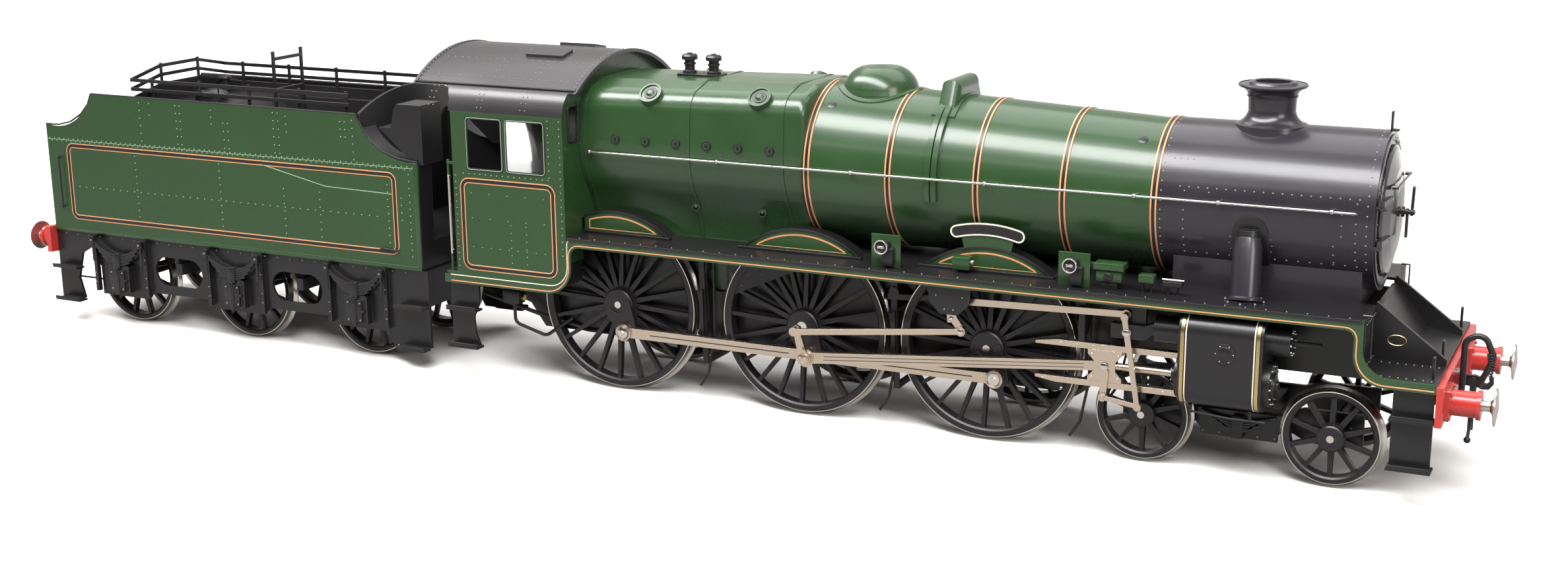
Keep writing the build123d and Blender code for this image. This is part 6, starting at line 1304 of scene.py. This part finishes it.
@dataclass
class ChassisDress:
    """Pipes under the deck, springs and bolts on the bogie, and the fittings of the front end."""

    def under(self) -> None:
        """Sand pipes, brake rodding and injector pipes."""
        pipe = Shaper("sand_pipes", BLACK, "engine", Slot.BLACK)
        for side in SIDES:
            for x in (-46.5, 44.5, 133.0):
                path = [at(x, side * 23.6, 68), at(x, side * 23.6, 30), at(x - 3.5, side * 23.4, 12),
                        at(x - 8, side * 23.4, 5)]
                pipe.wire(rounded(path, 3 * MM, closed=False), 0.0005)
            pipe.wire(rounded([at(-60, side * 20.4, 24), at(-118, side * 20.4, 24), at(-140, side * 24, 30),
                               at(-168, side * 30, 40)], 4 * MM, closed=False), 0.0008)
            pipe.block(at(-156, side * 28, 37), at(-146, side * 33, 44), 0.0008)
            pipe.wire(rounded([at(-151, side * 30, 38), at(-151, side * 30, 27), at(-136, side * 27, 21),
                               at(-124, side * 23, 30)],
                              3 * MM, closed=False), 0.0007)
        pipe.done()
        metal = Shaper("injector_nuts", BRASS, "engine", Slot.BRASS)
        for side in SIDES:
            metal.turned(((0, 0), (0, 0.0014), (0.0016, 0.0014), (0.002, 0.0008), (0.002, 0)),
                         at(-146.2, side * 30.5, 40.5),
                         Vector((1, 0, 0)), 6)
        metal.done()

    def bogie(self) -> None:
        """Spring buckles and bolts on the bogie."""
        shaper = Shaper("bogie_springs", BLACK, "bogie", Slot.BLACK)
        # Grey bolts: painted highlights on the black bogie.
        bolts = Shaper("bogie_bolts", GREY_RIVET_HIGHLIGHT, "bogie", Slot.BLACK)
        for side in SIDES:
            for leaf in range(5):
                reach = 15.5 - 2.4 * leaf
                path = [at(196 + reach * step / 6, side * 19.3,
                           20.5 - 1.2 * leaf + 3.0 * (step / 6) ** 2) for step in range(-6, 7)]
                shaper.strap(path, Vector((0, side * 1.6 * MM, 0)), 0.0006)
            shaper.block(at(193.6, side * 19.2, 12.5), at(198.4, side * 21.3, 22.2), 0.0003)
            for x in (150, 163, 181, 188, 204, 211, 229, 241):
                bolts.stud(at(x, side * (16.8 if abs(x - 196) > 18 else 18.8),
                              21.5 if abs(x - 196) > 18 else 13.5),
                           Vector((0, side, 0)), 0.00045, 0.0004)
        shaper.done()
        bolts.done()

    def front(self) -> None:
        """Buffer bolts, lamp irons, step treads, rivets and a blank oval plate."""
        bolts = Shaper("buffer_bolts", RED, "engine", Slot.RED)
        for side in SIDES:
            for dy, dz in ((-4.2, -4.2), (4.2, -4.2), (4.2, 4.2), (-4.2, 4.2)):
                place = at(279, side * 26.99 + dy, 41.5) + Vector((0.001, 0, dz * MM))
                bolts.stud(place, Vector((1, 0, 0)), 0.0006, 0.0006, 6, 0.9)
        for y in range(-18, 19, 6):
            bolts.stud(at(279, y, 49.6), Vector((1, 0, 0)), 0.00035, 0.0003)
            bolts.stud(at(279, y, 37.6), Vector((1, 0, 0)), 0.00035, 0.0003)
        bolts.done()
        tail = Shaper("tender_buffer_bolts", RED, "tender", Slot.RED)
        for side in SIDES:
            for dy, dz in ((-4.2, -4.2), (4.2, -4.2), (4.2, 4.2), (-4.2, 4.2)):
                place = at(-447.9, side * 26.99 + dy, 41.5) + Vector((0, 0, dz * MM))
                tail.stud(place, Vector((-1, 0, 0)), 0.0006, 0.0006, 6, 0.9)
        tail.done()
        irons = Shaper("lamp_irons", BLACK, "engine", Slot.BLACK)
        for y in (-33, -12, 33):
            irons.block(at(273.2, y - 1.1, 52.9), at(274.2, y + 1.1, 61.0))
        for side in SIDES:
            for height in (16.0, 34.5):
                irons.block(at(-181.4, side * 40.7, height), at(-164.6, side * 41.1, height + 1.4), 0.0001)
            irons.block(at(259.8, side * 34.5, 16.6), at(276.0, side * 40.9, 17.0), 0.0001)
            irons.block(at(259.8, side * 40.6, 16.6), at(276.0, side * 41.0, 18.4), 0.0001)
            irons.block(at(259.8, side * 40.6, 36.6), at(276.0, side * 41.0, 38.4), 0.0001)
            irons.wire([at(246.8, side * 37.2, 76), at(250.4, side * 37.2, 76), at(250.4, side * 37.2, 58)],
                       0.0004)
        irons.done()
        # Grey rivets: painted highlights on the black front end.
        rivets = Shaper("front_rivets", GREY_RIVET_HIGHLIGHT, "engine", Slot.BLACK)
        for side in SIDES:
            rivets.row(at(248.6, side * 22.5, 72.5), at(248.6, side * 37.5, 72.5), 7, Vector((1, 0, 0)),
                       0.00028)
            rivets.row(at(248.6, side * 22.5, 55.0), at(248.6, side * 37.5, 55.0), 7, Vector((1, 0, 0)),
                       0.00028)
            rivets.row(at(252, side * 22.0, 52.9), at(274, side * 22.0, 52.9), 8, Vector((0, 0, 1)),
                       0.00028)
            rivets.row(at(252, side * 38.0, 52.9), at(274, side * 38.0, 52.9), 8, Vector((0, 0, 1)),
                       0.00028)
        rivets.done()
        plate = Shaper("blank_oval_plates", BRASS, "engine", Slot.BRASS)
        for side in SIDES:
            oval = [at(257 + 3.6 * math.cos(math.tau * step / 28), side * 19.85,
                       61.5 + 2.1 * math.sin(math.tau * step / 28))
                    for step in range(28)]
            plate.wire(oval, 0.0002, closed=True)
        plate.done()
        hose = Shaper("vacuum_hose_rings", HOSE, "engine")
        for index in range(9):
            share = index / 8
            place = at(279, -12.5, 0) + Vector((0.0106 - 0.0012 * abs(share - 0.5), 0,
                                                up(57.5) - up(0) - 0.0068 * share))
            hose.turned(((-0.0002, 0.00095), (-0.0002, 0.0012), (0.0002, 0.0012), (0.0002, 0.00095)), place,
                        Vector((0.35 - 0.7 * share, 0, -1)), 14, closed=True)
        hose.done()

    def build(self) -> None:
        """Makes the pieces under the deck and at the front."""
        self.under()
        self.bogie()
        self.front()


# Distance between the rivets of a column, in full-size inches
RIVET_STEP = 3.4


@dataclass
class TenderDress:
    """Lining, rivets, beads, springs and rails on the tender."""

    flank: float = 33.75

    def lining(self) -> None:
        """The long lined panel on each side."""
        panel = LinedPanel(Shaper("tender_lining", ORANGE, "tender"),
                           Shaper("tender_lining_middle", BLACK, "tender", Slot.BLACK))
        for side in SIDES:
            y = side * self.flank
            path = [at(-427.6, y, 95.2), at(-215.3, y, 95.2), at(-215.3, y, 56.4), at(-427.6, y, 56.4)]
            panel.draw(rounded(path, 2.6 * MM))
        panel.orange.done()
        panel.black.done()

    def rivets(self) -> None:
        """The rows of rivets that hold the tank's plates."""
        # Pale green rivets: painted highlights on the green tank sides.
        shaper = Shaper("tender_rivets", GREEN_PAINTED_HIGHLIGHT, "tender", Slot.GREEN)
        for side in SIDES:
            out, y = Vector((0, side, 0)), side * (self.flank - 0.02)
            shaper.row(at(-440, y, 98.5), at(-203.5, y, 99.8), 72, out, 0.0003)
            shaper.row(at(-438.4, y, 97.2), at(-205.1, y, 98.4), 71, out, 0.00026)
            shaper.row(at(-421.6, y, 73.2), at(-226.3, y, 73.7), 42, out, 0.0003)
            for x, top, foot in ((-375.2, 121, 101), (-350.7, 121, 101), (-347.9, 121, 101),
                                 (-327.5, 120, 113),
                                 (-319.8, 114, 101), (-316.9, 114, 101), (-287.5, 121.3, 101),
                                 (-284.4, 121.3, 101),
                                 (-279.5, 120, 112), (-245.8, 119.5, 112), (-243.0, 119.5, 112),
                                 (-238.6, 120.5, 101),
                                 (-368.5, 121, 115), (-381.1, 92.5, 60), (-324.8, 92.5, 60),
                                 (-283.7, 83, 60),
                                 (-261.3, 83, 60), (-219.4, 90, 61), (-211.4, 84, 73), (-206.3, 96, 55)):
                count = max(2, int((top - foot) / RIVET_STEP) + 1)
                shaper.row(at(x, y, top), at(x, y, foot), count, out, 0.0003)
        rear = Vector((-1, 0, 0))
        for z in (52, 75, 99):
            shaper.row(at(-442.02, -30, z), at(-442.02, 30, z), 22, rear, 0.0003)
        for y in (-31.5, -12, 12, 31.5):
            shaper.row(at(-442.02, y, 54), at(-442.02, y, 103), 14, rear, 0.0003)
        shaper.done()

    def beads(self) -> None:
        """Beading along the upper edges, the sloping seam and the corner posts."""
        black = Shaper("tender_coping", BLACK, "tender", Slot.BLACK)
        green = Shaper("tender_beads", GREEN, "tender", Slot.GREEN)
        # Pale green lines along the seams: painted highlights on the seams' edges.
        pale = Shaper("tender_seam_highlights", GREEN_PAINTED_HIGHLIGHT, "tender", Slot.GREEN)
        for side in SIDES:
            y = side * (self.flank - 0.3)
            top = [at(-442, y, 105.9), at(-433, y, 106.0), at(-424.5, y, 108.0), at(-416.5, y, 112.6),
                   at(-411.0, y, 118.2),
                   at(-408.4, y, 123.8)]
            black.wire(top, 0.0004)
            black.wire([at(-408.4, y, 123.8), at(-236.6, y, 123.8)], 0.0004)
            black.wire([at(-236.6, y, 123.8), at(-233.2, y, 117.6), at(-228.6, y, 111.6),
                        at(-221.5, y, 106.4),
                        at(-212.5, y, 103.6), at(-201.0, y, 102.5)], 0.0004)
            green.block(at(-442.3, side * (self.flank - 0.7), 48.3),
                        at(-201, side * (self.flank + 0.25), 50.2), 0.0002)
            green.block(at(-203.4, side * (self.flank - 0.6), 50.2),
                        at(-200.8, side * (self.flank + 0.3), 102), 0.0002)
            flank = side * self.flank
            pale.wire([at(-299.5, flank, 95.0), at(-257.2, flank, 86.3), at(-216.8, flank, 85.6)], 0.0002,
                      flat=0.5)
            pale.wire([at(-441.8, flank, 97.9), at(-202, flank, 99.1)], 0.00014, flat=0.5)
        for shaper in (black, green, pale):
            shaper.done()

    def rails(self) -> None:
        """Handrails at the tender's rear and the bolt on the panel's lower corner."""
        dark = Shaper("tender_handrails", BLACK, "tender", Slot.BLACK)
        for side in SIDES:
            y = side * 35.2
            dark.wire([at(-433.4, y, 61), at(-433.4, y, 89.5)], 0.0004, rings=2)
            dark.wire([at(-225, side * 34.4, 57.9), at(-214.2, side * 34.4, 57.6)], 0.0004, rings=2)
            for z in (62, 88.5):
                dark.stud(at(-433.4, side * 34.4, z), Vector((0, side, 0)), 0.0006, 0.0016, 8)
        dark.done()

    def springs(self) -> None:
        """Leaves, buckles, hangers and axlebox lids, the frame's bolts and the step edges."""
        leaf = Shaper("tender_springs", BLACK, "tender", Slot.BLACK)
        # Grey bolts: painted highlights on the black frames and axleboxes.
        bolts = Shaper("tender_bolts", GREY_RIVET_HIGHLIGHT, "tender", Slot.BLACK)
        cover = Shaper("tender_axlebox_lids", BLACK, "tender", Slot.BLACK)
        for side in SIDES:
            out = Vector((0, side, 0))
            for axle in (-241, -319, -397):
                for number in range(5):
                    reach = 16.8 - 2.2 * number
                    path = [at(axle + reach * step / 8, side * 35.35,
                               38.6 - 1.2 * number + 7.4 * (reach / 16.8 * step / 8) ** 2)
                            for step in range(-8, 9)]
                    leaf.strap(path, Vector((0, side * 0.9 * MM, 0)), 0.0007)
                leaf.block(at(axle - 2.2, side * 35.2, 31.2), at(axle + 2.2, side * 36.9, 39.6), 0.0003)
                for shift in (-16.6, 16.6):
                    leaf.block(at(axle + shift - 1.4, side * 35.0, 43.2),
                               at(axle + shift + 1.4, side * 36.9, 47.6), 0.0003)
                    leaf.wire([at(axle + shift, side * 36.0, 43.2), at(axle + shift, side * 36.0, 34.0)],
                              0.0005)
                    bolts.stud(at(axle + shift, side * 36.9, 45.4), out, 0.00045, 0.0004)
                    for z in (22, 27, 37):
                        bolts.stud(at(axle + shift * 1.06, side * 34.7, z), out, 0.0003, 0.0003)
                cover.block(at(axle - 4.6, side * 36.3, 19.0), at(axle + 4.6, side * 37.0, 30.6), 0.0005)
                cover.block(at(axle - 1.3, side * 36.9, 17.6), at(axle + 1.3, side * 37.4, 31.8), 0.0003)
                cover.block(at(axle - 5.6, side * 35.6, 24.2), at(axle + 5.6, side * 36.9, 25.4), 0.0002)
                for dx, dz in ((-3.6, -4.4), (3.6, -4.4), (3.6, 4.4), (-3.6, 4.4)):
                    bolts.stud(at(axle + dx, side * 37.0, 24.8 + dz), out, 0.0004, 0.0004)
            for x in range(-436, -204, 8):
                bolts.stud(at(x, side * 32.7, 46.4), out, 0.00034, 0.0003)
            for x, z in ((-208, 8.9), (-208, 29.9), (-434, 10.9), (-434, 28.9)):
                leaf.block(at(x - 8.6, side * 37.0, z - 0.3), at(x + 8.6, side * 37.4, z + 1.4), 0.0001)
            leaf.wire([at(-441, side * 30, 13), at(-441, side * 30, 22), at(-300, side * 30, 22),
                       at(-205, side * 30, 20)], 0.0006)
        for shaper in (leaf, bolts, cover):
            shaper.done()

    def top(self) -> None:
        """Ventilators, a bent rail over the filler and a grip on the filler's lid."""
        black = Shaper("tender_top_fittings", BLACK, "tender", Slot.BLACK)
        for side in SIDES:
            black.turned(((0, 0), (0, 0.0022), (0.0052, 0.0020), (0.0060, 0.0028), (0.0068, 0.0026),
                          (0.0072, 0)),
                         at(-379, side * 22, 117), Vector((0, 0, 1)), 24)
        black.wire([at(-372, -3, 117), at(-372, -3, 126), at(-356, -3, 126), at(-356, -3, 117)], 0.0004)
        black.done()
        lid = Shaper("filler_lid_grip", BLACK, "filler_lid", Slot.BLACK)
        lid.wire([at(-364.5, -2.6, 122.6), at(-364.5, -2.6, 125.0), at(-364.5, 2.6, 125.0),
                  at(-364.5, 2.6, 122.6)], 0.0005)
        lid.done()

    def build(self) -> None:
        """Makes every piece on the tender."""
        self.lining()
        self.rivets()
        self.beads()
        self.rails()
        self.springs()
        self.top()


@dataclass
class Studio:
    """The floor, the backdrop, the lamps and the camera."""

    place: Vector = Vector((0.35342, -0.63629, 0.21846))
    target: Vector = Vector((0.04605, 0.0, 0.04178))
    roll: float = -0.008
    lens: float = 44.80

    def floor(self) -> None:
        """A pale floor that curves up behind the engine and looks darker in the paint's reflections."""
        mesh = bmesh.new()
        edge = [mesh.verts.new((-3.5, y, z)) for y,
                z in ((-3.5, 0.0), (1.2, 0.0), (2.0, 0.25), (2.4, 1.0), (2.5, 3.5))]
        for first, second in zip(edge, edge[1:]):
            mesh.edges.new((first, second))
        spread = bmesh.ops.extrude_edge_only(mesh, edges=mesh.edges[:])
        bmesh.ops.translate(mesh, vec=(7.0, 0, 0),
                            verts=[v for v in spread["geom"] if isinstance(v, bmesh.types.BMVert)])
        bmesh.ops.recalc_face_normals(mesh, faces=mesh.faces[:])
        self.staged("floor", mesh, (0.92, 0.90, 0.87), True, unseen=0.30)

    def card(self) -> None:
        """A black card below the camera that the engine's flanks mirror."""
        mesh = bmesh.new()
        bmesh.ops.create_grid(mesh, x_segments=1, y_segments=1, size=0.5,
                              matrix=Matrix.Translation((0.1, -1.15,
                                                         0.36)) @ Matrix.Rotation(math.radians(90), 4, "X")
                              @ Matrix.Diagonal((3.6, 0.72, 1, 1)))
        card = self.staged("dark_card", mesh, (0.02, 0.02, 0.02), False)
        card.visible_camera = False

    def staged(self, name: str, mesh: bmesh.types.BMesh, colour: Colour, smooth: bool,
               unseen: float = 1.0) -> bpy.types.Object:
        """Turns a shape into a part of the studio.

        Args:
            name: the object's name.
            mesh: its shape.
            colour: its colour.
            smooth: whether it is shaded smooth.
            unseen: how bright the colour is to rays that don't come from the camera, as a share.
        """
        data = bpy.data.meshes.new(name)
        for face in mesh.faces:
            face.smooth = smooth
        mesh.to_mesh(data)
        mesh.free()
        made = bpy.data.objects.new(name, data)
        bpy.context.scene.collection.objects.link(made)
        graph = Graph(f"{name}_paper")
        mottle = graph.node("ShaderNodeTexNoise")
        mottle.inputs["Scale"].default_value = 2.0
        mix = graph.node("ShaderNodeMix", data_type="RGBA")
        mix.inputs["A"].default_value = (*colour, 1)
        mix.inputs["B"].default_value = (*[min(1.0, channel * 1.04) for channel in colour], 1)
        graph.link(mottle.outputs["Fac"], mix.inputs["Factor"])
        path = graph.node("ShaderNodeLightPath")
        seen = graph.maths("MAXIMUM", path.outputs["Is Camera Ray"], path.outputs["Is Transmission Ray"])
        seen = graph.maths("MAXIMUM", seen, graph.above(graph.place(1), 0.6))
        dim = graph.node("ShaderNodeMix", data_type="RGBA")
        dim.inputs["A"].default_value = (*[channel * unseen for channel in colour], 1)
        graph.link(seen, dim.inputs["Factor"])
        graph.link(mix.outputs["Result"], dim.inputs["B"])
        graph.link(dim.outputs["Result"], graph.shader.inputs["Base Color"])
        graph.shader.inputs["Roughness"].default_value = 0.9
        graph.shader.inputs["Specular IOR Level"].default_value = 0.1
        data.materials.append(graph.material)
        return made

    def lamp(self, name: str, place: Vector, aim: Vector, size: Tuple[float, float], power: float) -> None:
        """A soft rectangular lamp.

        Args:
            name: the lamp's name.
            place: where it hangs.
            aim: the point that it looks at.
            size: its width and height.
            power: its power in watts.
        """
        data = bpy.data.lights.new(name, "AREA")
        data.shape = "RECTANGLE"
        data.size, data.size_y = size
        data.energy = power
        lamp = bpy.data.objects.new(name, data)
        lamp.location = place
        lamp.rotation_euler = (Vector(aim) - Vector(place)).to_track_quat("-Z", "Y").to_euler()
        bpy.context.scene.collection.objects.link(lamp)

    def lamps(self) -> None:
        """The long key strip, the wide top light, a low front fill and the sky."""
        self.lamp("key", (-0.20, -0.42, 0.95), (0.0, 0.0, 0.08), (2.3, 0.34), 42.0)
        self.lamp("top", (0.1, 0.55, 1.35), (0.0, 0.1, 0.0), (2.4, 1.1), 20.0)
        self.lamp("front", (1.6, -0.9, 0.7), (0.2, 0.0, 0.06), (0.7, 0.7), 10.0)
        self.lamp("fill", (0.0, -1.7, 0.95), (0.0, 0.0, 0.05), (2.6, 0.5), 9.0)
        world = bpy.data.worlds.new("studio")
        bpy.context.scene.world = world
        world.use_nodes = True
        world.node_tree.nodes["Background"].inputs["Color"].default_value = (0.95, 0.95, 0.95, 1)
        world.node_tree.nodes["Background"].inputs["Strength"].default_value = 0.34

    def camera(self) -> None:
        """The camera at its three-quarter place."""
        data = bpy.data.cameras.new("camera")
        data.lens, data.sensor_width, data.sensor_fit = self.lens, 36.0, "HORIZONTAL"
        data.clip_start, data.clip_end = 0.02, 20.0
        camera = bpy.data.objects.new("camera", data)
        camera.location = self.place
        turn = (self.target - self.place).to_track_quat("-Z", "Y").to_matrix().to_4x4()
        camera.rotation_euler = (turn @ Matrix.Rotation(self.roll, 4, "Z")).to_euler()
        bpy.context.scene.collection.objects.link(camera)
        bpy.context.scene.camera = camera

    def build(self) -> None:
        """Sets up the whole studio."""
        self.floor()
        self.card()
        self.lamps()
        self.camera()
        bpy.context.scene.view_settings.view_transform = "Standard"


def corners(box: Tuple[Vector, Vector]) -> List[List[float]]:
    """A box's two corners as plain lists of numbers."""
    return [list(corner) for corner in box]


def main() -> None:
    """Builds every sub-assembly in order."""
    logging.basicConfig(level=logging.INFO, format="%(name)s %(message)s")
    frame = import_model()
    dress_nodes(frame["nodes"])
    for assembly in (BoilerDress(), FireboxDress(), DeckDress(), CabDress(), CylinderDress(), MotionDress(),
                     ChassisDress(),
                     TenderDress()):
        assembly.build()
    Studio().build()
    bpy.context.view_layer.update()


if __name__ == "__main__":
    main()
